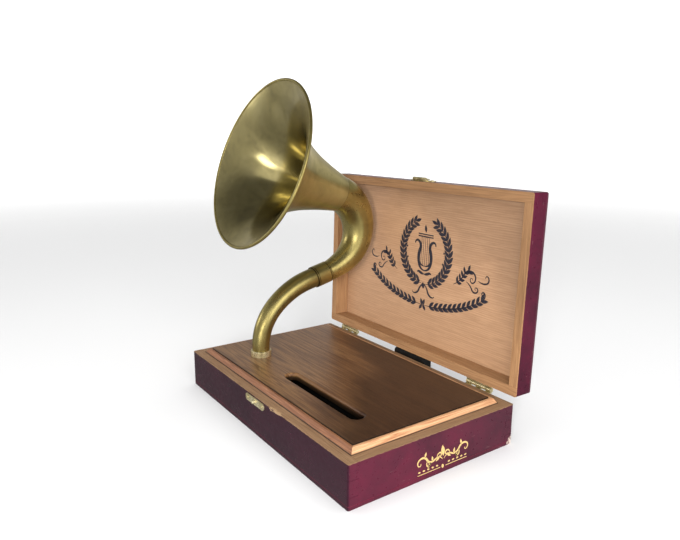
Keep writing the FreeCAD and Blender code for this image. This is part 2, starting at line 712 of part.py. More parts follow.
def hasp_plate():
    """Plate on the lid's front rail, with a knuckle at each side of the hasp."""
    low_z = BASE_HEIGHT + HASP_PLATE_RISE
    plate = clasp_plate(low_z)
    axis = hasp_axis()
    half = HASP_WIDTH / 2
    near = half + HASP_KNUCKLE_GAP
    far = half + HASP_KNUCKLE_REACH
    for low, high in ((-far, -near), (near, far)):
        lug_z = (axis.z, low_z + OVERSHOOT)
        lug = block((CLASP_X + low, CLASP_X + high), (axis.y, -HALF_DEPTH), lug_z)
        plate = plate.fuse([hasp_barrel(low, high, HASP_BARREL_RADIUS), lug])
    bore = hasp_barrel(-far - OVERSHOOT, far + OVERSHOOT, HASP_PIN_RADIUS)
    return plate.cut(bore).removeSplitter()


def hasp():
    """Swinging hasp, folded back over its plate, with the eye that drops over the nib."""
    axis = hasp_axis()
    half = HASP_WIDTH / 2
    y_near = -HALF_DEPTH - CLASP_PLATE_THICKNESS - HASP_LIFT - HASP_THICKNESS
    y_span = (y_near, y_near + HASP_THICKNESS)
    tongue = block((CLASP_X - half, CLASP_X + half), y_span, (axis.z, axis.z + HASP_LENGTH))
    tip = [edge for edge in tongue.Edges if edge.CenterOfMass.z > axis.z + HASP_LENGTH - TOUCHING
           and abs(edge.tangentAt(edge.FirstParameter).y) > 0.5]
    tongue = tongue.makeFillet(HASP_TIP_RADIUS, tip)
    eye_height = axis.z + HASP_PIVOT_RISE + CATCH_DROP + CLASP_PLATE_HEIGHT / 2
    eye_start = FreeCAD.Vector(CLASP_X, y_near - OVERSHOOT, eye_height)
    eye_radius = CATCH_NIB_RADIUS + HASP_EYE_CLEARANCE
    eye = Part.makeCylinder(eye_radius, HASP_THICKNESS + 2 * OVERSHOOT, eye_start, Y_AXIS)
    barrel = hasp_barrel(-half, half, HASP_BARREL_RADIUS)
    bore = hasp_barrel(-half - OVERSHOOT, half + OVERSHOOT, HASP_PIN_RADIUS + PIN_CLEARANCE)
    return tongue.cut(eye).fuse(barrel).cut(bore).removeSplitter()


def base_fittings():
    """Hinge leaves and pins, lid stop and catch that stay on the base."""
    hinge_brads = brads(leaf_seats(False), Y_AXIS)
    stop_brads = brads(stop_seats(), Y_AXIS, STOP_BRAD_LENGTH)
    catch_brads = brads(clasp_seats(BASE_HEIGHT - CATCH_DROP - CLASP_PLATE_HEIGHT), Y_AXIS * -1)
    parts = {
        "lid_stop": drilled(lid_stop(), stop_brads),
        "lid_stop_brads": stop_brads,
        "catch_plate": drilled(catch_plate(), catch_brads),
        "catch_brads": catch_brads,
        "hinge_base_brads": hinge_brads,
    }
    for side, centre_x in HINGE_PLACES_X.items():
        parts["hinge_base_leaf_" + side] = drilled(hinge_leaf(centre_x, False), hinge_brads)
        parts["hinge_pin_" + side] = hinge_pin(centre_x)
    return parts


def lid():
    """Lid frame, panel and fittings, swung open."""
    hinge_brads = brads(leaf_seats(True), Y_AXIS)
    hasp_brads = brads(clasp_seats(BASE_HEIGHT + HASP_PLATE_RISE), Y_AXIS * -1)
    rails = frame_sides((BASE_HEIGHT, RAIL_TOP), LID_RAIL, LID_FINGERS)
    closed = {"lid_rail_" + side: board for side, board in rails.items()}
    closed["lid_panel"] = box_envelope((RAIL_TOP, RAIL_TOP + LID_PANEL_THICKNESS))
    closed["hinge_lid_brads"] = hinge_brads
    closed["hasp_plate_brads"] = hasp_brads
    closed["hasp_plate"] = drilled(hasp_plate(), hasp_brads)
    pin_reach = HASP_WIDTH / 2 + HASP_KNUCKLE_REACH
    closed["hasp_pin"] = hasp_barrel(-pin_reach, pin_reach, HASP_PIN_RADIUS)
    closed["hasp"] = hasp()
    for side, centre_x in HINGE_PLACES_X.items():
        closed["hinge_lid_leaf_" + side] = drilled(hinge_leaf(centre_x, True), hinge_brads)
    closed["lid_rail_rear"] = drilled(closed["lid_rail_rear"], hinge_brads)
    closed["lid_rail_front"] = drilled(closed["lid_rail_front"], hasp_brads)
    return {name: swing_open(shape) for name, shape in closed.items()}


def assembly():
    """Every sub-part by name."""
    parts = base_box()
    parts.update(liner_and_board())
    parts.update(sound_duct())
    parts.update(horn())
    parts.update(base_fittings())
    parts.update(lid())
    for name in ("hinge_base_brads", "lid_stop_brads"):
        parts["rear_wall"] = drilled(parts["rear_wall"], parts[name])
    parts["front_wall"] = drilled(parts["front_wall"], parts["catch_brads"])
    return parts


def main():
    os.makedirs("parts", exist_ok=True)
    for name, shape in assembly().items():
        solids = len(shape.Solids)
        print(f"{name:24s} solids {solids}  volume {shape.Volume:10.1f}  valid {shape.isValid()}")
        shape.exportStep(os.path.join("parts", name + ".step"))


main()
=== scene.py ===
import json
import math

import bmesh
import bpy
from mathutils import Matrix, Vector

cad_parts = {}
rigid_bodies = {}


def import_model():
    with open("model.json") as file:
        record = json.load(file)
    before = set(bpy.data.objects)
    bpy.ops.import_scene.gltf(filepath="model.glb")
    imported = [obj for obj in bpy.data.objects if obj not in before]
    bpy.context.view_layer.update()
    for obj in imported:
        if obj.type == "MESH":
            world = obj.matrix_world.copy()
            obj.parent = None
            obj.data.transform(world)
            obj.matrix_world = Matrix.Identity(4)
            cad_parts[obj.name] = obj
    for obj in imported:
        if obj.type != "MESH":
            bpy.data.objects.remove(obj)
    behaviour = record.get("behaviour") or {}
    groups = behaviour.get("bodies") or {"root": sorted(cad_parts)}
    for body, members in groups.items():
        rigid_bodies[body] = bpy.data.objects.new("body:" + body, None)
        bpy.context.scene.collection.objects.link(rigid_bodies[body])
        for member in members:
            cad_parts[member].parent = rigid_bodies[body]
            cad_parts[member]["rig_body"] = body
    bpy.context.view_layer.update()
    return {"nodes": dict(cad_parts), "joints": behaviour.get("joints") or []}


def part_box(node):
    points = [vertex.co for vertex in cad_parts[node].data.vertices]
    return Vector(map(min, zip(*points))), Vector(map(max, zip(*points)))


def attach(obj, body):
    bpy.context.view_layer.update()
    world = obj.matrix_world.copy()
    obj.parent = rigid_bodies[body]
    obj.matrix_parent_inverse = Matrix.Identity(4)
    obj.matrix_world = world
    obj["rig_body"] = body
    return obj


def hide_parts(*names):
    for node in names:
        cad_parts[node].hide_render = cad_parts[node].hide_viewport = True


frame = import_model()

# Looks of an acoustic horn speaker: painted cigar box, walnut board, brass goose-neck horn.
# Metres in the row frame: X right along the front, Y to the rear, Z up. The lid rests open.
# Millimetres are used where a comment or a name ending in _MM says so.

NODES = frame["nodes"]
MM = 0.001
RIM_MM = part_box("front_wall")[1].z / MM
LID_OPEN_DEG = 91.5
SEED_STEP_MM = 613.0
NOISE_LOW = 0.3
NOISE_HIGH = 0.7

# Camera, at the photograph's viewing angle
CAMERA_PLACE = (0.3891, -0.27216, 0.22531)
CAMERA_AZIMUTH_DEG = 54.77
CAMERA_DOWN_DEG = 12.54
CAMERA_ROLL_DEG = 0.32
CAMERA_LENS_MM = 32.53
SENSOR_MM = 36.0


def joint(name):
    """Joint of the record by name."""
    return next(item for item in frame["joints"] if item["name"] == name)


def lid_opening():
    """Matrix that carries a point of the closed lid to where the open lid has it."""
    pin = Vector(joint("lid_hinge")["pos_m"])
    turn = Matrix.Rotation(math.radians(-LID_OPEN_DEG), 4, "X")
    return Matrix.Translation(pin) @ turn @ Matrix.Translation(-pin)


OPENING = lid_opening()
CLOSING = OPENING.inverted()


def closed_box(node):
    """Lowest and highest corner of a lid node, measured with the lid closed."""
    points = [CLOSING @ vertex.co for vertex in NODES[node].data.vertices]
    low = Vector([min(point[axis] for point in points) for axis in range(3)])
    high = Vector([max(point[axis] for point in points) for axis in range(3)])
    return low, high


# ---------------------------------------------------------------- node material short-hand

class Shader:
    """One node material being built."""

    def __init__(self, name):
        self.material = bpy.data.materials.new(name)
        self.material.use_nodes = True
        self.tree = self.material.node_tree
        self.surface = self.tree.nodes["Principled BSDF"]

    def put(self, socket, value):
        """Link a socket to another one, or set its value."""
        if isinstance(value, bpy.types.NodeSocket):
            self.tree.links.new(value, socket)
        else:
            socket.default_value = value

    def node(self, kind, inputs, **settings):
        """New node with its settings and inputs."""
        made = self.tree.nodes.new("ShaderNode" + kind)
        for key, value in settings.items():
            setattr(made, key, value)
        for key, value in inputs.items():
            self.put(made.inputs[key], value)
        return made

    def finish(self, **inputs):
        """Set the surface shader's inputs and hand over the material."""
        for key, value in inputs.items():
            self.put(self.surface.inputs[key.replace("_", " ")], value)
        return self.material

    def rest(self):
        """Rest position in metres."""
        return self.node("TexCoord", {}).outputs["Object"]

    def position(self, on_lid=False, seed=0):
        """Rest position in millimetres, of the closed lid where asked, shifted by a seed."""
        where = self.rest()
        back = CLOSING if on_lid else Matrix.Identity(4)
        place = back.to_translation() / MM + Vector((0, 0, 1)) * seed * SEED_STEP_MM
        inputs = {"Vector": where, "Scale": (1 / MM,) * 3,
                  "Rotation": back.to_euler(), "Location": place}
        return self.node("Mapping", inputs).outputs[0]

    def stretched(self, where, scale):
        """Position scaled by axis, so that a pattern made in it is drawn out."""
        return self.node("Mapping", {"Vector": where, "Scale": scale}).outputs[0]

    def parts(self, where):
        """The three coordinates of a position."""
        return self.node("SeparateXYZ", {"Vector": where}).outputs

    def noise(self, where, scale, detail=3.0, roughness=0.5, distortion=0.0):
        """Fractal noise from 0 to 1."""
        inputs = {"Vector": where, "Scale": scale, "Detail": detail,
                  "Roughness": roughness, "Distortion": distortion}
        return self.node("TexNoise", inputs).outputs["Fac"]

    def math(self, operation, first, second=0.0):
        """Arithmetic on one or two values."""
        return self.node("Math", {0: first, 1: second}, operation=operation).outputs[0]

    def span(self, value, low, high, to_low=0.0, to_high=1.0):
        """Smooth step of a value from one span to another."""
        inputs = {"Value": value, "From Min": low, "From Max": high,
                  "To Min": to_low, "To Max": to_high}
        made = self.node("MapRange", inputs, interpolation_type="SMOOTHSTEP")
        return made.outputs["Result"]

    def spread(self, noise, to_low, to_high):
        """Noise whose usual values are spread over a span."""
        return self.span(noise, NOISE_LOW, NOISE_HIGH, to_low, to_high)

    def ramp(self, value, stops):
        """Colour ramp through (place, colour) stops."""
        made = self.node("ValToRGB", {"Fac": value})
        elements = made.color_ramp.elements
        while len(elements) < len(stops):
            elements.new(0.5)
        for element, (place, colour) in zip(elements, stops):
            element.position = place
            element.color = (*colour, 1)
        return made.outputs["Color"]

    def mix(self, share, first, second, blend="MIX"):
        """Mix of two colours, or their product with blend MULTIPLY."""
        made = self.node("MixRGB", {"Fac": share}, blend_type=blend)
        for socket, value in zip(("Color1", "Color2"), (first, second)):
            is_colour = not isinstance(value, bpy.types.NodeSocket) and len(value) == 3
            self.put(made.inputs[socket], (*value, 1) if is_colour else value)
        return made.outputs["Color"]

    def bump(self, height, depth_mm, strength):
        """Bump normal from a height of 0 to 1 that stands for a depth in millimetres."""
        inputs = {"Height": height, "Distance": depth_mm * MM, "Strength": strength}
        return self.node("Bump", inputs).outputs["Normal"]

    def vector(self, operation, first, second):
        """Vector arithmetic that gives a vector."""
        return self.node("VectorMath", {0: first, 1: second}, operation=operation).outputs[0]

    def dot(self, first, second):
        """Dot product of two vectors."""
        return self.node("VectorMath", {0: first, 1: second}, operation="DOT_PRODUCT").outputs["Value"]

    def distance(self, first, second):
        """Distance between two points."""
        return self.node("VectorMath", {0: first, 1: second}, operation="DISTANCE").outputs["Value"]

    def length(self, vector):
        """Length of a vector."""
        return self.node("VectorMath", {0: vector}, operation="LENGTH").outputs["Value"]

    def unit(self, vector):
        """Vector of length 1 in the same direction."""
        return self.node("VectorMath", {0: vector}, operation="NORMALIZE").outputs[0]

    def inside_by(self, where, half_x, half_y):
        """How far a point lies inside an upright rectangular outline round the origin."""
        x, y, _ = self.parts(where)
        from_side = self.math("SUBTRACT", half_x, self.math("ABSOLUTE", x))
        from_end = self.math("SUBTRACT", half_y, self.math("ABSOLUTE", y))
        return self.math("MINIMUM", from_side, from_end)


# ---------------------------------------------------------------- wood

class Wood:
    """Colours and character of one kind of wood."""

    def __init__(self, light, middle, dark, pore, ring_mm, contrast=0.5, pore_share=0.5):
        self.light = light
        self.middle = middle
        self.dark = dark
        self.pore = pore
        self.ring_mm = ring_mm
        self.contrast = contrast
        self.pore_share = pore_share


LID_VENEER = Wood((0.54, 0.325, 0.19), (0.46, 0.27, 0.15), (0.35, 0.195, 0.105), (0.27, 0.145, 0.075),
                  ring_mm=7.0, contrast=0.35, pore_share=0.25)
# The box's rim wood in two copies: darker on the base's rim as painted shade, lighter on the lid's rails
# as painted light.
RIM_WOOD_SHADED = Wood((0.35, 0.215, 0.12), (0.275, 0.165, 0.088), (0.18, 0.10, 0.052), (0.125, 0.068, 0.035),
                ring_mm=5.0, contrast=0.5, pore_share=0.4)
LID_RAIL_WOOD_LIT = Wood((0.43, 0.245, 0.12), (0.35, 0.19, 0.09), (0.23, 0.12, 0.058), (0.17, 0.082, 0.04),
                     ring_mm=5.0, contrast=0.5, pore_share=0.4)
LIP_CEDAR = Wood((0.74, 0.47, 0.27), (0.60, 0.335, 0.17), (0.36, 0.155, 0.07), (0.24, 0.095, 0.04),
                 ring_mm=4.0, contrast=0.8, pore_share=0.3)
# Shaded copy of the cedar: painted shade for the front and left liners.
LIP_CEDAR_SHADED = Wood((0.33, 0.155, 0.075), (0.235, 0.10, 0.046), (0.14, 0.055, 0.026), (0.1, 0.04, 0.02),
                      ring_mm=4.0, contrast=0.7, pore_share=0.3)
WALNUT = Wood((0.31, 0.17, 0.072), (0.215, 0.112, 0.045), (0.105, 0.048, 0.021), (0.05, 0.022, 0.01),
              ring_mm=11.0, contrast=0.8, pore_share=0.6)
PINE = Wood((0.62, 0.44, 0.26), (0.52, 0.35, 0.19), (0.40, 0.24, 0.12), (0.3, 0.17, 0.08),
            ring_mm=9.0, contrast=0.5, pore_share=0.2)
# Near-black wood for the duct strips: painted shade for the dark seen down the slot.
DUCT_SHADE_BLACK = Wood((0.02, 0.018, 0.016), (0.013, 0.012, 0.011), (0.007, 0.006, 0.006), (0.003, 0.003, 0.003),
                 ring_mm=9.0, contrast=0.5, pore_share=0.2)


# Colour of painted shade in the gaps between boards and down the slot.
GAP_SHADE = (0.012, 0.007, 0.004)
# Painted sheen and shade across the walnut board: full colour to the front left, darker to the rear right.
WALNUT_SHEEN_AND_SHADE = [(0.0, (1.0, 1.0, 1.0)), (0.45, (0.66, 0.60, 0.60)), (0.95, (0.19, 0.15, 0.17))]
GRAIN_STRETCH = 0.035
PORE_STRETCH = 0.09
RINGS_PER_NOISE = 7.0
WOOD_BUMP_MM = 0.05
# Depths below the board's top over which painted shade darkens the slot's sides.
SLOT_SHADE_MM = (3.5, 1.0)


def drawn_out(axis, share):
    """Scale that draws a pattern out along one axis."""
    scale = [1.0, 1.0, 1.0]
    scale["XYZ".index(axis)] = share
    return scale


def wood_grain(shader, where, axis, wood):
    """Colour and height of plain sawn wood with its grain along one axis."""
    lengthwise = shader.stretched(where, drawn_out(axis, GRAIN_STRETCH))
    rings = shader.noise(lengthwise, 1 / wood.ring_mm, detail=2.0, distortion=1.2)
    bands = shader.math("FRACT", shader.math("MULTIPLY", rings, RINGS_PER_NOISE))
    bands = shader.math("PINGPONG", bands, 0.5)
    streaks = shader.noise(lengthwise, 1.1, detail=5.0, roughness=0.65)
    fibres = shader.noise(lengthwise, 5.0, detail=3.0, roughness=0.6)
    tone = shader.math("MULTIPLY", bands, wood.contrast)
    tone = shader.math("ADD", tone, shader.math("MULTIPLY", streaks, 1.15 - wood.contrast * 0.5))
    tone = shader.math("SUBTRACT", tone, 0.22)
    colour = shader.ramp(tone, [(0.12, wood.dark), (0.45, wood.middle), (0.78, wood.light)])
    pores = shader.noise(shader.stretched(where, drawn_out(axis, PORE_STRETCH)), 3.4, detail=1.0)
    pores = shader.span(pores, 0.66, 0.74)
    pores = shader.math("MULTIPLY", pores, wood.pore_share)
    colour = shader.mix(pores, colour, wood.pore)
    colour = shader.mix(shader.spread(fibres, 0.0, 0.12), colour, wood.dark)
    height = shader.math("SUBTRACT", shader.math("MULTIPLY", fibres, 0.6), pores)
    return colour, height


def finish_wood(shader, colour, height, matt, glossy):
    """Wood surface, more matt in the pores."""
    roughness = shader.span(height, -0.3, 0.6, matt, glossy)
    normal = shader.bump(height, WOOD_BUMP_MM, 0.5)
    return shader.finish(Base_Color=colour, Roughness=roughness, Normal=normal)


def wood_material(name, wood, axis, seed, gloss):
    """Clear-finished or raw wood."""
    shader = Shader(name)
    where = shader.position(seed=seed)
    colour, height = wood_grain(shader, where, axis, wood)
    haze = shader.noise(where, 0.03, detail=2.0)
    colour = shader.mix(shader.span(haze, 0.35, 0.75, 0.0, 0.3), colour, wood.dark)
    return finish_wood(shader, colour, height, gloss + 0.18, gloss)


def lip_material(side, wood, axis, seed):
    """Cedar liner board, with painted shade where it stands up from the wall's rim."""
    shader = Shader("liner_" + side + "_cedar")
    closed = shader.position()
    colour, height = wood_grain(shader, shader.position(seed=seed), axis, wood)
    rise = shader.parts(closed)["Z"]
    # Painted shade at the foot of the liner, in the gap above the wall's rim.
    gap_shade = shader.span(rise, RIM_MM + 0.1, RIM_MM + 0.5, 0.85, 0.0)
    colour = shader.mix(gap_shade, colour, GAP_SHADE)
    return finish_wood(shader, colour, height, 0.58, 0.4)


def walnut_material():
    """Lacquered walnut: lighter front left as painted sheen; painted shade to the rear right, at edges and
    slot sides.
    """
    shader = Shader("board_walnut")
    closed = shader.position()
    colour, height = wood_grain(shader, shader.position(seed=31), "X", WALNUT)
    x, y, z = shader.parts(closed)
    drift = shader.noise(shader.stretched(closed, drawn_out("X", 0.3)), 0.03, detail=3.0)
    place = shader.math("ADD", shader.math("ADD", x, y), shader.spread(drift, -35.0, 35.0))
    # Painted sheen and shade: lighter to the front left, darker to the rear right.
    tone = shader.ramp(shader.span(place, -60.0, 75.0), WALNUT_SHEEN_AND_SHADE)
    colour = shader.mix(1.0, colour, tone, "MULTIPLY")
    half_x, half_y, top = [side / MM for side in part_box("sound_board")[1]]
    # Painted shade at the board's edges and down the slot's sides.
    edge = shader.span(shader.inside_by(closed, half_x, half_y), 0.15, 0.6, 0.85, 0.0)
    deep, shallow = SLOT_SHADE_MM
    slot_shade = shader.span(z, top - deep, top - shallow, 0.9, 0.0)
    colour = shader.mix(shader.math("MAXIMUM", edge, slot_shade), colour, GAP_SHADE)
    return finish_wood(shader, colour, height, 0.5, 0.3)


# ---------------------------------------------------------------- painted boards

PAINT_DARK = (0.038, 0.006, 0.015)
PAINT_MIDDLE = (0.062, 0.0075, 0.02)
PAINT_RED = (0.095, 0.008, 0.025)
PAINT_PALE = (0.40, 0.24, 0.22)
# Painted shade for the front wall.
PAINT_FRONT_SHADE = (0.014, 0.002, 0.008)
PAINT_SEAM = (0.36, 0.03, 0.06)
PAINT_CHIP = (0.62, 0.50, 0.42)
SPLINTER_WOOD = (0.52, 0.34, 0.18)
# Painted shade inside the lid, towards the top right of the open lid.
LID_SHADE = (0.42, 0.43, 0.46)
PAINT_SHEEN = 0.3
LID_SHEEN = 0.08
CORNER_WEAR_MM = 6.0
CORNER_WEAR_Z_MM = 2.0
SPLINTER_MM = 2.8
SPLINTER_X_MM = 30.0
SPLINTER_STRETCH = 0.25
RIB_MM = 1.75
EDGE_BLUR_MM = 0.1
INSIDE_MARGIN_MM = 0.2
LID_PAINT_LINE_MM = 0.4


def inner_outline(low, high):
    """Half length and half depth in millimetres inside a rear board and the boards beside it."""
    thick = high.y - low.y
    return (high.x - thick) / MM, (high.y - thick) / MM


def base_outline():
    """Inner outline of the base's walls."""
    return inner_outline(*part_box("rear_wall"))


def bare_rim(shader, past_line, closed):
    """1 past a slightly ragged paint line, 0 before it."""
    ragged = shader.spread(shader.noise(closed, 0.35, detail=2.0), 0.18, 0.42)
    return shader.span(shader.math("ADD", past_line, ragged), 0.0, EDGE_BLUR_MM)


def bare_inside(shader, closed, outline):
    """1 inside an outline, 0 on the painted outside."""
    half_x, half_y = outline
    inside = shader.inside_by(closed, half_x + INSIDE_MARGIN_MM, half_y + INSIDE_MARGIN_MM)
    return shader.span(inside, 0.0, EDGE_BLUR_MM)


def bare_on_base(shader, closed):
    """1 on the rim and the inside of the base, 0 on the painted outside."""
    above_rim = shader.math("SUBTRACT", shader.parts(closed)["Z"], RIM_MM)
    inside = bare_inside(shader, closed, base_outline())
    return shader.math("MAXIMUM", bare_rim(shader, above_rim, closed), inside)


def bare_on_lid(shader, closed):
    """1 on the rim and the inside of the lid, 0 on the painted outside."""
    z = shader.parts(closed)["Z"]
    past_line = shader.math("SUBTRACT", RIM_MM + LID_PAINT_LINE_MM, z)
    inside = bare_inside(shader, closed, inner_outline(*closed_box("lid_rail_rear")))
    panel_mm = closed_box("lid_panel")[0].z / MM + INSIDE_MARGIN_MM
    below = shader.span(shader.math("SUBTRACT", panel_mm, z), 0.0, EDGE_BLUR_MM)
    inside = shader.math("MULTIPLY", inside, below)
    return shader.math("MAXIMUM", bare_rim(shader, past_line, closed), inside)


def paint_colour(shader, where):
    """Burgundy with mottling, pale specks and short scratches, and the cloud that sets its gloss."""
    mottle = shader.noise(where, 0.022, detail=4.0, roughness=0.6, distortion=0.4)
    colour = shader.ramp(mottle, [(0.32, PAINT_DARK), (0.5, PAINT_MIDDLE), (0.7, PAINT_RED)])
    cloud = shader.noise(where, 0.3, detail=3.0)
    colour = shader.mix(shader.span(cloud, 0.45, 0.8, 0.0, 0.35), colour, PAINT_RED)
    specks = shader.span(shader.noise(where, 1.1, detail=1.0), 0.765, 0.8)
    scratch_space = shader.stretched(where, (0.12, 0.12, 1.6))
    scratches = shader.span(shader.noise(scratch_space, 0.9, detail=1.0), 0.755, 0.8)
    marks = shader.math("MAXIMUM", specks, shader.math("MULTIPLY", scratches, 0.6))
    colour = shader.mix(shader.math("MULTIPLY", marks, 0.55), colour, PAINT_PALE)
    return colour, cloud


def lid_top_shade(shader, closed, colour):
    """Wood colour inside the lid, with painted shade towards the top right of the open lid."""
    x, y, _ = shader.parts(closed)
    drift = shader.noise(closed, 0.02, detail=2.0)
    place = shader.math("SUBTRACT", shader.math("MULTIPLY", x, 0.45), y)
    place = shader.math("ADD", place, shader.spread(drift, -12.0, 12.0))
    shaded = shader.mix(1.0, colour, LID_SHADE, "MULTIPLY")
    return shader.mix(shader.span(place, 14.0, 66.0, 0.0, 0.45), colour, shaded)


def rim_gap_shade(shader, closed, colour):
    """Wood colour of the base's rim, with painted shade where the rim meets the liner."""
    inside = shader.inside_by(closed, *base_outline())
    # Painted shade in the gap between rim and liner.
    gap = shader.span(inside, -0.45, -0.1, 0.0, 0.9)
    return shader.mix(gap, colour, GAP_SHADE)


def chipped(shader, where, centre_mm, reach_mm):
    """1 inside a ragged chip around a point."""
    offset = shader.distance(where, centre_mm)
    ragged = shader.noise(where, 0.9, detail=3.0)
    reach = shader.spread(ragged, 0.25 * reach_mm, reach_mm)
    return shader.span(shader.math("SUBTRACT", reach, offset), 0.0, 0.25)


def base_paint(shader, closed, paint):
    """Paint of the base: painted shade on the front wall, red at the bottom's seam, worn at one corner."""
    _, y, z = shader.parts(closed)
    front_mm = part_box("front_wall")[0].y / MM
    # Painted shade on the front wall.
    front = shader.span(y, front_mm + 0.3, front_mm + 1.5, 0.85, 0.0)
    paint = shader.mix(front, paint, PAINT_FRONT_SHADE)
    seam = shader.math("ABSOLUTE", shader.math("SUBTRACT", z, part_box("bottom_panel")[1].z / MM))
    paint = shader.mix(shader.span(seam, 0.05, 0.3, 0.3, 0.0), paint, PAINT_SEAM)
    half_x, half_y = [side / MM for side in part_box("rear_wall")[1].xy]
    corner = chipped(shader, closed, (half_x, half_y, CORNER_WEAR_Z_MM), CORNER_WEAR_MM)
    return shader.mix(corner, paint, PAINT_CHIP)


def splintered(shader, closed, colour):
    """Colour of the base with a splinter lifted from the front rim."""
    half_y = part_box("rear_wall")[1].y / MM
    lengthened = shader.stretched(closed, drawn_out("X", SPLINTER_STRETCH))
    middle = (SPLINTER_X_MM * SPLINTER_STRETCH, -half_y, RIM_MM)
    splinter = chipped(shader, lengthened, middle, SPLINTER_MM)
    return shader.mix(shader.math("MULTIPLY", splinter, 0.6), colour, SPLINTER_WOOD)


def painted_material(name, axis, seed, on_lid=False):
    """Painted board with bare rim and bare inside."""
    shader = Shader(name)
    closed = shader.position(on_lid)
    paint, cloud = paint_colour(shader, closed)
    wood, grain = wood_grain(shader, shader.position(on_lid, seed), axis,
                             LID_RAIL_WOOD_LIT if on_lid else RIM_WOOD_SHADED)
    if on_lid:
        bare = bare_on_lid(shader, closed)
        # Wood inside the lid takes painted shade towards its top right.
        colour = shader.mix(bare, paint, lid_top_shade(shader, closed, wood))
    else:
        bare = bare_on_base(shader, closed)
        colour = shader.mix(bare, base_paint(shader, closed, paint), rim_gap_shade(shader, closed, wood))
        colour = splintered(shader, closed, colour)
    raised = shader.math("SUBTRACT", 1.0, bare)
    relief = shader.math("MULTIPLY", grain, shader.math("MULTIPLY", bare, 0.25))
    normal = shader.bump(shader.math("ADD", raised, relief), 0.06, 0.6)
    gloss = shader.spread(cloud, 0.27, 0.4)
    roughness = shader.math("ADD", gloss, shader.math("MULTIPLY", bare, 0.28))
    shader.finish(Base_Color=colour, Roughness=roughness, Normal=normal)
    return shader.finish(Specular_IOR_Level=LID_SHEEN if on_lid else PAINT_SHEEN)


def panel_ribs(shader, closed):
    """Share of the fine broken ribs that run along the veneer inside the lid."""
    wander = shader.noise(shader.stretched(closed, (0.02, 0.1, 1.0)), 1.0, detail=2.0)
    ribs = shader.math("DIVIDE", shader.parts(closed)["Y"], RIB_MM)
    ribs = shader.math("ADD", ribs, shader.math("MULTIPLY", wander, 1.4))
    ribs = shader.span(shader.math("PINGPONG", ribs, 0.5), 0.05, 0.3, 1.0, 0.0)
    broken = shader.noise(shader.stretched(closed, (0.12, 0.5, 1.0)), 0.6, detail=3.0)
    return shader.math("MULTIPLY", ribs, shader.span(broken, 0.3, 0.55))


def lid_panel_material():
    """Lid panel: clear veneer inside, paint outside."""
    shader = Shader("lid_panel_veneer")
    closed = shader.position(on_lid=True)
    bare = bare_on_lid(shader, closed)
    paint, cloud = paint_colour(shader, closed)
    wood, grain = wood_grain(shader, shader.position(on_lid=True, seed=15), "X", LID_VENEER)
    ribs = shader.math("MULTIPLY", panel_ribs(shader, closed), 0.8)
    # Painted shade towards the top right of the open lid.
    wood = lid_top_shade(shader, closed, shader.mix(ribs, wood, LID_VENEER.dark))
    colour = shader.mix(bare, paint, wood)
    normal = shader.bump(shader.math("MULTIPLY", grain, 0.5), WOOD_BUMP_MM, 0.5)
    gloss = shader.spread(cloud, 0.3, 0.42)
    roughness = shader.math("ADD", gloss, shader.math("MULTIPLY", bare, 0.2))
    return shader.finish(Base_Color=colour, Roughness=roughness, Normal=normal)


# ---------------------------------------------------------------- metal, felt and block

BELL_SEAM_Y = 0.0465
BELL_SEAM_Z = 0.1726
SEAM_LOWEST_MM = 150.0
COLLAR_HEADING_DEG = 14.0
COLLAR_HALF_MM = 7.8
COLLAR_GROOVE_MM = 1.5
COLLAR_NEAR_MM = 16.0
COLLAR_FAR_MM = 18.0
ANTIQUE_LIGHT = (0.62, 0.54, 0.27)
ANTIQUE_MIDDLE = (0.50, 0.43, 0.20)
ANTIQUE_DARK = (0.35, 0.30, 0.145)
TUBE_TINT = (0.82, 0.78, 0.60)
BRASS_CREVICE = (0.05, 0.035, 0.015)
BRIGHT_LIGHT = (0.86, 0.77, 0.50)
BRIGHT_MIDDLE = (0.68, 0.59, 0.33)
BRIGHT_DARK = (0.42, 0.35, 0.18)


def bell_axis():
    """Middle of the seam between elbow and bell, and the direction of the bell's axis."""
    low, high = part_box("bell_rim_bead")
    rim = (low + high) / 2
    seam = Vector((rim.x, BELL_SEAM_Y, BELL_SEAM_Z))
    return tuple(seam), tuple((rim - seam).normalized())


def bell_space(shader):
    """Millimetres along the bell's axis from the seam, and how far the surface faces outward."""
    seam, axis = bell_axis()
    offset = shader.vector("SUBTRACT", shader.rest(), seam)
    depth = shader.math("DIVIDE", shader.dot(offset, axis), MM)
    around = shader.vector("CROSS_PRODUCT", axis, offset)
    outward = shader.unit(shader.vector("CROSS_PRODUCT", around, axis))
    return depth, shader.dot(shader.node("TexCoord", {}).outputs["Normal"], outward)


def aged_brass_colour(shader, where, patina, depth):
    """Uneven brass with tarnish, darker at the seam between elbow and bell."""
    colour = shader.ramp(patina, [(0.3, ANTIQUE_DARK), (0.5, ANTIQUE_MIDDLE), (0.72, ANTIQUE_LIGHT)])
    tarnish = shader.noise(where, 0.14, detail=3.0)
    colour = shader.mix(shader.span(tarnish, 0.5, 0.8, 0.0, 0.4), colour, ANTIQUE_DARK)
    seam = shader.span(shader.math("ABSOLUTE", depth), 0.15, 0.5, 0.6, 0.0)
    above = shader.span(shader.parts(where)["Z"], SEAM_LOWEST_MM, SEAM_LOWEST_MM + 1.0)
    return shader.mix(shader.math("MULTIPLY", seam, above), colour, BRASS_CREVICE)


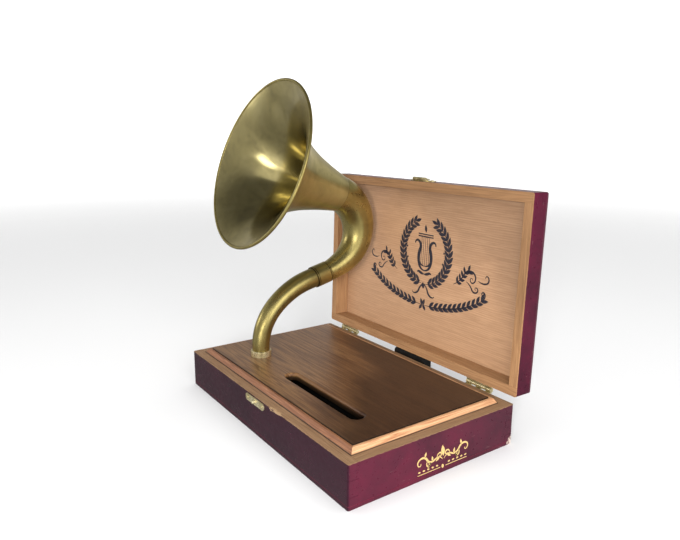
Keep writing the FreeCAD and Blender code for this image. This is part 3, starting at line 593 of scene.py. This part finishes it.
def collar_lines(shader):
    """Tarnish in the collar's two grooves, and painted shade where its ends meet the tubes."""
    low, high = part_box("neck_collar")
    offset = shader.vector("SUBTRACT", shader.rest(), tuple((low + high) / 2))
    heading = math.radians(COLLAR_HEADING_DEG)
    along = shader.dot(offset, (0, math.cos(heading) / MM, math.sin(heading) / MM))
    along = shader.math("ABSOLUTE", along)
    lines = 0.0
    for place in (COLLAR_HALF_MM, COLLAR_HALF_MM - COLLAR_GROOVE_MM):
        off_line = shader.math("ABSOLUTE", shader.math("SUBTRACT", along, place))
        lines = shader.math("MAXIMUM", lines, shader.span(off_line, 0.2, 0.55, 0.85, 0.0))
    near = shader.span(shader.length(offset), COLLAR_NEAR_MM * MM, COLLAR_FAR_MM * MM, 1.0, 0.0)
    return shader.math("MULTIPLY", lines, near)


def finish_brass(shader, colour, patina, brushed, satin, metallic):
    """Brass surface with brush marks, more matt by a satin share."""
    roughness = shader.math("ADD", shader.spread(patina, 0.15, 0.1), satin)
    roughness = shader.math("ADD", roughness, shader.spread(brushed, 0.0, 0.06))
    normal = shader.bump(brushed, 0.012, 0.35)
    return shader.finish(Base_Color=colour, Roughness=roughness, Normal=normal, Metallic=metallic)


def tube_brass():
    """Aged brass of the neck, collar, elbow and rim bead."""
    shader = Shader("tube_antique_brass")
    where = shader.position()
    depth, _ = bell_space(shader)
    patina = shader.noise(where, 0.035, detail=4.0, roughness=0.6, distortion=0.5)
    colour = aged_brass_colour(shader, where, patina, depth)
    colour = shader.mix(1.0, colour, TUBE_TINT, "MULTIPLY")
    # Tarnish in the collar's grooves, painted shade where its ends meet the tubes.
    colour = shader.mix(collar_lines(shader), colour, BRASS_CREVICE)
    brushed = shader.noise(shader.stretched(where, (1.0, 0.12, 0.12)), 3.0, detail=3.0)
    return finish_brass(shader, colour, patina, brushed, 0.15, 0.95)


def bell_brass():
    """Aged brass of the bell: spun rings, bright inside and satin outside."""
    shader = Shader("bell_antique_brass")
    where = shader.position()
    depth, facing = bell_space(shader)
    patina = shader.noise(where, 0.035, detail=4.0, roughness=0.6, distortion=0.5)
    colour = aged_brass_colour(shader, where, patina, depth)
    colour = shader.mix(shader.span(facing, -0.2, 0.0, 0.0, 0.7), colour, TUBE_TINT, "MULTIPLY")
    rings = shader.node("CombineXYZ", {"X": depth}).outputs[0]
    brushed = shader.noise(rings, 2.2, detail=4.0, roughness=0.7)
    turned = {"convert_from": "OBJECT", "convert_to": "WORLD"}
    lengthwise = shader.node("VectorTransform", {"Vector": bell_axis()[1]}, **turned).outputs[0]
    shader.finish(Anisotropic=0.9, Tangent=lengthwise)
    satin = shader.span(facing, -0.2, 0.0, 0.0, 0.16)
    metallic = shader.span(facing, -0.2, 0.0, 1.0, 0.88)
    return finish_brass(shader, colour, patina, brushed, satin, metallic)


def bright_brass(name):
    """Stamped brass of the small fittings, a little tarnished."""
    shader = Shader(name)
    where = shader.position()
    tarnish = shader.noise(where, 0.15, detail=3.0)
    colour = shader.ramp(tarnish, [(0.3, BRIGHT_DARK), (0.48, BRIGHT_MIDDLE), (0.7, BRIGHT_LIGHT)])
    scratches = shader.noise(shader.stretched(where, (0.2, 1.0, 3.0)), 2.0, detail=3.0)
    roughness = shader.span(scratches, 0.35, 0.7, 0.26, 0.38)
    normal = shader.bump(scratches, 0.008, 0.3)
    return shader.finish(Base_Color=colour, Roughness=roughness, Normal=normal, Metallic=0.85)


def black_block(name):
    """Matt black painted block with a slight orange-peel."""
    shader = Shader(name)
    where = shader.position()
    peel = shader.noise(where, 1.1, detail=3.0)
    dust = shader.noise(where, 0.25, detail=4.0)
    colour = shader.ramp(dust, [(0.35, (0.003, 0.003, 0.003)), (0.7, (0.008, 0.008, 0.008))])
    normal = shader.bump(peel, 0.05, 0.5)
    roughness = shader.spread(peel, 0.5, 0.7)
    shader.finish(Specular_IOR_Level=0.2)
    return shader.finish(Base_Color=colour, Roughness=roughness, Normal=normal)


def felt(name):
    """Black felt with matted fibres."""
    shader = Shader(name)
    where = shader.position()
    fibres = shader.noise(where, 2.6, detail=6.0, roughness=0.8, distortion=2.0)
    colour = shader.ramp(fibres, [(0.3, (0.006, 0.006, 0.007)), (0.7, (0.035, 0.033, 0.034))])
    normal = shader.bump(fibres, 0.3, 0.8)
    return shader.finish(Base_Color=colour, Roughness=0.95, Normal=normal)


def print_ink(name, colour, worn_colour, gloss, metallic=0.0):
    """Printed line work, thin in places."""
    shader = Shader(name)
    where = shader.position()
    thin = shader.noise(where, 1.4, detail=4.0, roughness=0.7)
    tone = shader.mix(shader.span(thin, 0.5, 0.78), colour, worn_colour)
    roughness = shader.spread(thin, gloss, gloss + 0.15)
    return shader.finish(Base_Color=tone, Roughness=roughness, Metallic=metallic)


# ---------------------------------------------------------------- boards and fittings with eased edges

SHARP_DEG = 32.0
FLAT_DEG = 1.0
LONG_EDGE_MM = 20.0
MERGE_MM = 0.002
BOX_CORNER_MM = 1.6


def new_object(name, mesh):
    """Object in the scene made from a finished bmesh."""
    data = bpy.data.meshes.new(name)
    mesh.to_mesh(data)
    mesh.free()
    made = bpy.data.objects.new(name, data)
    bpy.context.scene.collection.objects.link(made)
    return made


def smooth(piece):
    """Shade every face of a piece smooth."""
    for polygon in piece.data.polygons:
        polygon.use_smooth = True


def eased_copy(node, width_mm, fine_mm, corners):
    """Copy of a CAD node with small rounds on its edges, standing for the node."""
    mesh = bmesh.new()
    mesh.from_mesh(NODES[node].data)
    bmesh.ops.remove_doubles(mesh, verts=mesh.verts, dist=MERGE_MM * MM)
    bmesh.ops.dissolve_limit(mesh, angle_limit=math.radians(FLAT_DEG),
                             verts=mesh.verts, edges=mesh.edges)
    weights = mesh.edges.layers.float.new("bevel_weight_edge")
    for edge in mesh.edges:
        sharp = len(edge.link_faces) == 2 and edge.calc_face_angle(0) > math.radians(SHARP_DEG)
        if sharp:
            long_edge = edge.calc_length() > LONG_EDGE_MM * MM or corners(edge)
            edge[weights] = 1.0 if long_edge else fine_mm / width_mm
    piece = new_object(node + "_eased", mesh)
    rounds = piece.modifiers.new("rounds", "BEVEL")
    rounds.width = width_mm * MM
    rounds.segments = 2
    rounds.limit_method = "WEIGHT"
    apply_modifiers(piece)
    smooth(piece)
    piece.data.set_sharp_from_angle(angle=math.radians(SHARP_DEG))
    flat = piece.modifiers.new("flat", "WEIGHTED_NORMAL")
    flat.keep_sharp = True
    flat.weight = 100
    apply_modifiers(piece)
    stand_for(piece, node)
    return piece


def apply_modifiers(piece):
    """Bake a piece's modifiers into its mesh."""
    graph = bpy.context.evaluated_depsgraph_get()
    shaped = bpy.data.meshes.new_from_object(piece.evaluated_get(graph))
    piece.modifiers.clear()
    piece.data = shaped


def stand_for(piece, node):
    """Ride on the node's body and replace it."""
    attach(piece, NODES[node]["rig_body"])
    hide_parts(node)


def at_box_corner(edge):
    """Whether a short edge belongs to the rounded upright corners of the box."""
    middle = (edge.verts[0].co + edge.verts[1].co) / 2
    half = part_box("front_wall")[1].x
    return abs(middle.x) > half - BOX_CORNER_MM * MM


def at_no_corner(edge):
    """For parts without rounded corners."""
    return False


def give(piece, material):
    """Put one material on a piece."""
    piece.data.materials.clear()
    piece.data.materials.append(material)


def boards():
    """All wooden boards, each with its own cut of grain."""
    painted = {"front_wall": "X", "rear_wall": "X", "left_wall": "Y", "right_wall": "Y",
               "bottom_panel": "X"}
    for seed, (node, axis) in enumerate(painted.items(), 1):
        piece = eased_copy(node, 0.35, 0.06, at_box_corner)
        give(piece, painted_material(node + "_paint", axis, seed))
    rails = {"front": "X", "rear": "X", "left": "Y", "right": "Y"}
    for seed, (side, axis) in enumerate(rails.items(), 11):
        piece = eased_copy("lid_rail_" + side, 0.35, 0.06, at_box_corner)
        give(piece, painted_material("lid_rail_" + side + "_paint", axis, seed, on_lid=True))
    piece = eased_copy("lid_panel", 0.5, 0.5, at_box_corner)
    give(piece, lid_panel_material())
    for seed, (side, axis) in enumerate(rails.items(), 21):
        piece = eased_copy("liner_" + side, 0.25, 0.1, at_no_corner)
        # The front and left liners take the shaded copy of the cedar as painted shade.
        wood = LIP_CEDAR if side in ("right", "rear") else LIP_CEDAR_SHADED
        give(piece, lip_material(side, wood, axis, seed))
    piece = eased_copy("sound_board", 0.3, 0.3, at_no_corner)
    give(piece, walnut_material())
    duct = {"duct_front_strip": "X", "duct_rear_strip": "X",
            "duct_left_end": "Y", "duct_right_end": "Y"}
    # The duct strips take near-black wood as painted shade inside the slot.
    for seed, (node, axis) in enumerate(duct.items(), 41):
        piece = eased_copy(node, 0.3, 0.3, at_no_corner)
        give(piece, wood_material(node + "_shade_black", DUCT_SHADE_BLACK, axis, seed, 0.75))
    piece = eased_copy("board_glue_blocks", 0.3, 0.3, at_no_corner)
    give(piece, wood_material("glue_block_pine", PINE, "Z", 51, 0.6))


def fittings():
    """Small brass parts, the stop and the pad."""
    stamped = ["catch_plate", "hasp_plate", "hasp", "hinge_base_leaf_left", "hinge_base_leaf_right",
               "hinge_lid_leaf_left", "hinge_lid_leaf_right"]
    brass = bright_brass("fitting_brass")
    for node in stamped:
        give(eased_copy(node, 0.15, 0.15, at_no_corner), brass)
    turned = ["catch_brads", "hasp_plate_brads", "hinge_base_brads", "hinge_lid_brads", "lid_stop_brads",
              "hasp_pin", "hinge_pin_left", "hinge_pin_right", "neck_socket", "socket_nut"]
    for node in turned:
        give(NODES[node], brass)
    give(eased_copy("lid_stop", 0.3, 0.3, at_no_corner), black_block("stop_black"))
    give(eased_copy("phone_pad", 0.4, 0.4, at_no_corner), felt("pad_felt"))


def horn():
    """Brass horn: the CAD tubes keep their shape and get the aged finish."""
    tube = tube_brass()
    for node in ("neck_tube", "neck_collar", "horn_elbow", "bell_rim_bead"):
        give(NODES[node], tube)
    give(NODES["horn_bell"], bell_brass())


# ---------------------------------------------------------------- printed and gilded ornament

INK_MM = 0.04
MIN_LINE_MM = 0.05
TRAIL_STEP_MM = 0.7

# Heights on the lid's face in millimetres, and the middle of the wall ornament in metres
LYRE_BAR_V = 27.0
LYRE_FOOT_V = -3.0
WREATH_FOOT_V = -15.0
GARLAND_FOOT_V = -34.0
GOLD_Y = 0.0045
GOLD_Z = 0.0118


class Drawing:
    """Line work in millimetres on a flat face, built as thin closed strips."""

    def __init__(self, name, to_face):
        self.name = name
        self.to_face = to_face
        self.mesh = bmesh.new()

    def stroke(self, points, widths):
        """One strip along a line, with its own width at each point."""
        rings = []
        for index, (u, v) in enumerate(points):
            before = points[max(index - 1, 0)]
            after = points[min(index + 1, len(points) - 1)]
            run = Vector((after[0] - before[0], after[1] - before[1])).normalized()
            side = Vector((-run.y, run.x)) * max(widths[index], MIN_LINE_MM) / 2
            corners = [(u + side.x, v + side.y, 0), (u - side.x, v - side.y, 0),
                       (u - side.x, v - side.y, INK_MM), (u + side.x, v + side.y, INK_MM)]
            rings.append([self.mesh.verts.new(self.to_face @ Vector(corner)) for corner in corners])
        for low, high in zip(rings, rings[1:]):
            for k in range(4):
                self.mesh.faces.new((low[k], low[(k + 1) % 4], high[(k + 1) % 4], high[k]))
        self.mesh.faces.new(rings[0][::-1])
        self.mesh.faces.new(rings[-1])

    def scroll(self, start, heading, bends, width):
        """Swelling stroke along a chain of arcs; hands back its points."""
        points = trail(start, heading, bends)
        self.stroke(points, swelling(len(points), width))
        return points

    def leaf(self, start, heading, length, width):
        """Pointed leaf."""
        points = trail(start, heading, [(length * 0.5, 14), (length * 0.5, -14)])
        last = len(points) - 1
        self.stroke(points, [width * math.sin(math.pi * k / last) for k in range(last + 1)])

    def leaves(self, points, gap, length, width, splay):
        """Pairs of leaves along a line."""
        for index in range(gap, len(points) - 1, gap):
            (u0, v0), (u1, v1) = points[index], points[index + 1]
            heading = math.degrees(math.atan2(v1 - v0, u1 - u0))
            for side in (-1, 1):
                self.leaf(points[index], heading + side * splay, length, width)

    def piece(self, body, slot, material):
        """Finished object, riding on a body."""
        bmesh.ops.recalc_face_normals(self.mesh, faces=self.mesh.faces)
        made = new_object(self.name, self.mesh)
        give(made, material)
        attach(made, body)


def trail(start, heading, bends):
    """Points along a chain of arcs, each given by its length and its turn in degrees."""
    u, v = start
    angle = math.radians(heading)
    points = [(u, v)]
    for length, turn in bends:
        steps = max(3, round(length / TRAIL_STEP_MM))
        for _ in range(steps):
            angle += math.radians(turn) / steps / 2
            u += math.cos(angle) * length / steps
            v += math.sin(angle) * length / steps
            angle += math.radians(turn) / steps / 2
            points.append((u, v))
    return points


def swelling(count, width):
    """Widths that swell from thin ends to the middle of a stroke."""
    return [width * (0.3 + 0.7 * math.sin(math.pi * k / (count - 1))) for k in range(count)]


def mirrored(matrix, sign):
    """Face matrix with its first direction flipped where the sign is negative."""
    return matrix @ Matrix.Diagonal((sign, 1, 1, 1))


def face_matrix(origin, u_axis, v_axis):
    """Matrix from millimetres on a face to the row frame."""
    normal = u_axis.cross(v_axis)
    turn = Matrix((u_axis, v_axis, normal)).transposed().to_4x4()
    return Matrix.Translation(origin) @ turn @ Matrix.Scale(MM, 4)


def lid_emblem():
    """Laurel wreath round a lyre, over a garland, printed on the lid's inner face."""
    low, high = closed_box("lid_panel")
    origin = OPENING @ Vector(((low.x + high.x) / 2, 0, low.z))
    turn = OPENING.to_3x3()
    face = face_matrix(origin, turn @ Vector((1, 0, 0)), turn @ Vector((0, -1, 0)))
    ink = Drawing("lid_emblem", face)
    for sign in (-1, 1):
        ink.to_face = mirrored(face, sign)
        wreath_half(ink)
        lyre_half(ink)
        side_scroll(ink)
        garland_half(ink)
    ink.to_face = face
    for height in (LYRE_BAR_V, LYRE_BAR_V + 2.0):
        ink.stroke([(-9.5, height), (9.5, height)], [1.1, 1.1])
    ink.stroke([(0, LYRE_FOOT_V + 4.0), (0, LYRE_BAR_V)], [0.5, 0.5])
    ink.leaf((0, LYRE_BAR_V + 3.5), 90, 7, 3)
    ink.leaf((0, WREATH_FOOT_V - 4.5), 90, 6, 4)
    blue_black = print_ink("emblem_ink", (0.012, 0.013, 0.024), (0.10, 0.075, 0.06), 0.5)
    ink.piece("lid", "lid_cedar", blue_black)


def wreath_half(ink):
    """Half of the laurel wreath, with berries inside and a ribbon end at its foot."""
    stem = ink.scroll((0.5, WREATH_FOOT_V), 0, [(76.0, 152)], 1.3)
    ink.leaves(stem, 7, 8.5, 3.2, 36)
    ink.leaf(stem[-1], 150, 8.0, 3.0)
    for index in range(10, len(stem) - 8, 14):
        u, v = stem[index]
        ink.leaf((u * 0.8, v), 90, 2.2, 1.9)
    ink.scroll((0.5, WREATH_FOOT_V), -30, [(8.0, -40), (8.0, 70), (3.0, 60)], 1.9)


def lyre_half(ink):
    """Half of the lyre: an arm, a foot and two strings."""
    ink.scroll((0, LYRE_FOOT_V), 0, [(9.0, 70), (14.0, 45), (9.0, -95), (5.5, -120)], 3.6)
    ink.scroll((0, LYRE_FOOT_V - 3.2), 0, [(6.0, 25), (3.5, -70)], 2.6)
    ink.scroll((0, LYRE_FOOT_V + 3.8), 0, [(4.5, 25), (5.0, 75)], 1.6)
    for u in (2.4, 4.8):
        ink.stroke([(u, LYRE_FOOT_V + 4.5 + u * 0.2), (u, LYRE_BAR_V)], [0.5, 0.5])


def side_scroll(ink):
    """Leafy vine scroll beside the wreath."""
    bends = [(16.0, 35), (12.0, -95), (9.0, -110), (6.0, -150), (3.5, -160)]
    stem = ink.scroll((36.0, -8.0), 25, bends, 1.6)
    ink.leaves(stem[:36], 6, 6.0, 2.5, 42)
    ink.scroll((50.0, -3.0), -20, [(9.0, -40), (7.0, 110), (5.0, 150), (3.0, 170)], 1.4)
    ink.scroll((63.0, 0.0), -30, [(9.0, 50), (7.0, 120), (4.0, 160)], 1.4)


def garland_half(ink):
    """Half of the leafy garland that hangs below, with a curl at its end."""
    stem = ink.scroll((0.5, GARLAND_FOOT_V), 0, [(36.0, 14), (36.0, 20)], 1.3)
    ink.leaves(stem[3:], 8, 8.0, 3.0, 28)
    ink.scroll(stem[-1], 34, [(6.0, 70), (4.0, 120), (3.0, 160)], 1.4)
    ink.leaf((0.3, GARLAND_FOOT_V - 0.5), 62, 6.5, 3.0)
    ink.leaf((0.3, GARLAND_FOOT_V + 0.5), -62, 6.5, 3.0)


def gold_half(gold):
    """Half of the gilded scrollwork: a running vine with curls and leaves over a beaded rule."""
    bends = [(8.0, -95), (8.5, 95), (8.5, -100), (5.0, -110), (3.0, -150)]
    stem = gold.scroll((0.8, -1.5), 62, bends, 1.5)
    for index, turn in ((8, 1), (21, -1)):
        curl = [(4.5, turn * 110), (3.5, turn * 140), (2.0, turn * 160)]
        gold.scroll(stem[index], 20 + turn * 55, curl, 1.1)
    for index, heading in ((5, -40), (14, 70), (17, -75), (27, 95)):
        gold.leaf(stem[index], heading, 4.2, 1.6)
    gold.stroke([(2.5, -7.2), (23.0, -7.2)], [0.5, 0.5])
    for k in range(5):
        gold.leaf((4.4 + 4.0 * k, -5.2), 0, 2.4, 1.3)


def gold_ornament():
    """Gilded scrollwork on the right wall."""
    outer_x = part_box("right_wall")[1].x
    origin = Vector((outer_x, GOLD_Y, GOLD_Z))
    face = face_matrix(origin, Vector((0, 1, 0)), Vector((0, 0, 1)))
    gold = Drawing("wall_ornament", face)
    for sign in (-1, 1):
        gold.to_face = mirrored(face, sign)
        gold_half(gold)
    gold.to_face = face
    gold.leaf((0, 0.5), 90, 8.5, 3.2)
    gold.leaf((0, -8.6), 90, 3.4, 2.2)
    gilt = print_ink("gilt", (0.78, 0.56, 0.22), (0.42, 0.25, 0.10), 0.34, metallic=0.35)
    gold.piece("base", "painted_wood", gilt)


# ---------------------------------------------------------------- camera, floor and light

FLOOR_RADIUS = 2.2
FLOOR_CURVE = 1.0
FLOOR_SEGMENTS = 64
FLOOR_STEPS = 12
FLOOR_GLOW = 0.75
FLOOR_GLOW_START = 0.5
WORLD_STRENGTH = 0.5

# Each patch: middle and half width in degrees round from the front, lowest and highest degrees, strength
ROOM_PATCHES = (
    (75.0, 40.0, -25.0, 38.0, 0.5),
    (92.0, 16.0, 4.0, 34.0, 1.6),
    (40.0, 15.0, -3.0, 12.0, 5.0),
    (-42.0, 9.0, 10.0, 24.0, 3.0),
    (-150.0, 26.0, -8.0, 22.0, 0.5),
    (145.0, 26.0, -10.0, 28.0, -0.3),
)
ROOM_WALL = 0.45
ROOM_CEILING = 0.1
ROOM_FLOOR = (0.25, 0.75)
PATCH_BLUR_DEG = 3.0
DOME_RADIUS = 2.0
DOME_FLOOR_GAP = 0.0004


def camera():
    """Camera where the photograph was taken from."""
    data = bpy.data.cameras.new("camera")
    data.lens = CAMERA_LENS_MM
    data.sensor_width = SENSOR_MM
    data.clip_start = 0.01
    eye = bpy.data.objects.new("camera", data)
    bpy.context.scene.collection.objects.link(eye)
    azimuth = math.radians(CAMERA_AZIMUTH_DEG)
    turn = Matrix.Rotation(azimuth, 4, "Z")
    tilt = Matrix.Rotation(math.radians(90 - CAMERA_DOWN_DEG), 4, "X")
    roll = Matrix.Rotation(math.radians(CAMERA_ROLL_DEG), 4, "Z")
    eye.matrix_world = Matrix.Translation(CAMERA_PLACE) @ turn @ tilt @ roll
    bpy.context.scene.camera = eye


def floor_profile():
    """Radius and height of the floor's rings: flat, then curving up."""
    profile = [(FLOOR_RADIUS, 0.0)]
    for step in range(1, FLOOR_STEPS + 1):
        angle = math.radians(90 * step / FLOOR_STEPS)
        radius = FLOOR_RADIUS + FLOOR_CURVE * math.sin(angle)
        profile.append((radius, FLOOR_CURVE * (1 - math.cos(angle))))
    return profile


def floor_mesh():
    """Disc that curves up at its edge."""
    mesh = bmesh.new()
    headings = [2 * math.pi * k / FLOOR_SEGMENTS for k in range(FLOOR_SEGMENTS)]
    rings = [[mesh.verts.new((radius * math.cos(angle), radius * math.sin(angle), height))
              for angle in headings] for radius, height in floor_profile()]
    mesh.faces.new(rings[0])
    for inner, outer in zip(rings, rings[1:]):
        for k in range(FLOOR_SEGMENTS):
            after = (k + 1) % FLOOR_SEGMENTS
            mesh.faces.new((inner[k], outer[k], outer[after], inner[after]))
    return mesh


def sweep_floor():
    """Pale floor that curves up into a pale surround."""
    floor = new_object("studio_floor", floor_mesh())
    smooth(floor)
    shader = Shader("floor_pale")
    distance = shader.length(shader.rest())
    glow = shader.span(distance, FLOOR_GLOW_START, FLOOR_RADIUS + FLOOR_CURVE, 0.0, FLOOR_GLOW)
    shader.finish(Base_Color=(0.8, 0.8, 0.8, 1), Roughness=0.9, Specular_IOR_Level=0.0)
    give(floor, shader.finish(Emission_Color=(1, 1, 1, 1), Emission_Strength=glow))


def softbox(name, place, target, size, power):
    """Square area light that looks at a point, hidden from the camera and from reflections."""
    data = bpy.data.lights.new(name, "AREA")
    data.shape = "SQUARE"
    data.size = size
    data.energy = power
    lamp = bpy.data.objects.new(name, data)
    bpy.context.scene.collection.objects.link(lamp)
    look = Vector(target) - Vector(place)
    lamp.matrix_world = Matrix.Translation(place) @ look.to_track_quat("-Z", "Y").to_matrix().to_4x4()
    lamp.visible_camera = False
    lamp.visible_glossy = False


def dome_light(shader):
    """Brightness of the room by direction: dark ceiling, paler walls, the patches and the floor."""
    where = shader.rest()
    x, y, z = shader.parts(shader.unit(where))
    turn = shader.math("ARCTAN2", x, shader.math("MULTIPLY", y, -1.0))
    turn = shader.math("DEGREES", turn)
    rise = shader.math("DEGREES", shader.math("ARCSINE", z))
    light = shader.span(rise, 22.0, 52.0, ROOM_WALL, ROOM_CEILING)
    for middle, half, low, high, strength in ROOM_PATCHES:
        aside = shader.math("ABSOLUTE", shader.math("SUBTRACT", turn, middle))
        across = shader.span(aside, half * 0.75, half * 1.15, 1.0, 0.0)
        above = shader.span(rise, low - PATCH_BLUR_DEG, low + PATCH_BLUR_DEG)
        below = shader.span(rise, high - PATCH_BLUR_DEG, high + PATCH_BLUR_DEG, 1.0, 0.0)
        patch = shader.math("MULTIPLY", across, shader.math("MULTIPLY", above, below))
        light = shader.math("ADD", light, shader.math("MULTIPLY", patch, strength))
    floor_x, _, floor_z = shader.parts(where)
    floor = shader.span(floor_x, -0.1, 0.35, *ROOM_FLOOR)
    on_floor = shader.span(floor_z, 0.001, 0.002, 1.0, 0.0)
    inputs = {"Factor": on_floor, "A": light, "B": floor}
    return shader.node("Mix", inputs, data_type="FLOAT").outputs["Result"]


def reflection_dome():
    """Room that only reflections see: a dome down to just above the floor, and the floor itself."""
    mesh = bmesh.new()
    bmesh.ops.create_uvsphere(mesh, u_segments=48, v_segments=24, radius=DOME_RADIUS)
    cut = bmesh.ops.bisect_plane(
        mesh, geom=mesh.verts[:] + mesh.edges[:] + mesh.faces[:],
        plane_co=(0, 0, DOME_FLOOR_GAP), plane_no=(0, 0, -1), clear_outer=True)
    rim = [item for item in cut["geom_cut"] if isinstance(item, bmesh.types.BMEdge)]
    bmesh.ops.edgeloop_fill(mesh, edges=rim)
    dome = new_object("reflection_dome", mesh)
    shader = Shader("room_glow")
    shader.finish(Base_Color=(0, 0, 0, 1), Emission_Color=(1, 0.985, 0.95, 1))
    shader.finish(Emission_Strength=dome_light(shader))
    shader.material.cycles.emission_sampling = "NONE"
    give(dome, shader.material)
    dome.visible_camera = False
    dome.visible_diffuse = False
    dome.visible_shadow = False
    dome.visible_transmission = False


def studio():
    """White surround, and soft light from the right, above and the front."""
    world = bpy.data.worlds.new("studio")
    bpy.context.scene.world = world
    world.use_nodes = True
    world.node_tree.nodes["Background"].inputs["Color"].default_value = (1, 1, 1, 1)
    world.node_tree.nodes["Background"].inputs["Strength"].default_value = WORLD_STRENGTH
    middle = (0.0, 0.0, 0.1)
    softbox("key", (1.5, -0.65, 0.7), middle, 1.3, 27.0)
    softbox("overhead", (-0.1, 0.2, 1.7), middle, 1.4, 11.0)
    softbox("front", (0.77, -0.83, 0.31), middle, 0.16, 10.0)
    bpy.context.scene.view_settings.view_transform = "Standard"


camera()
sweep_floor()
reflection_dome()
studio()
boards()
fittings()
horn()
lid_emblem()
gold_ornament()
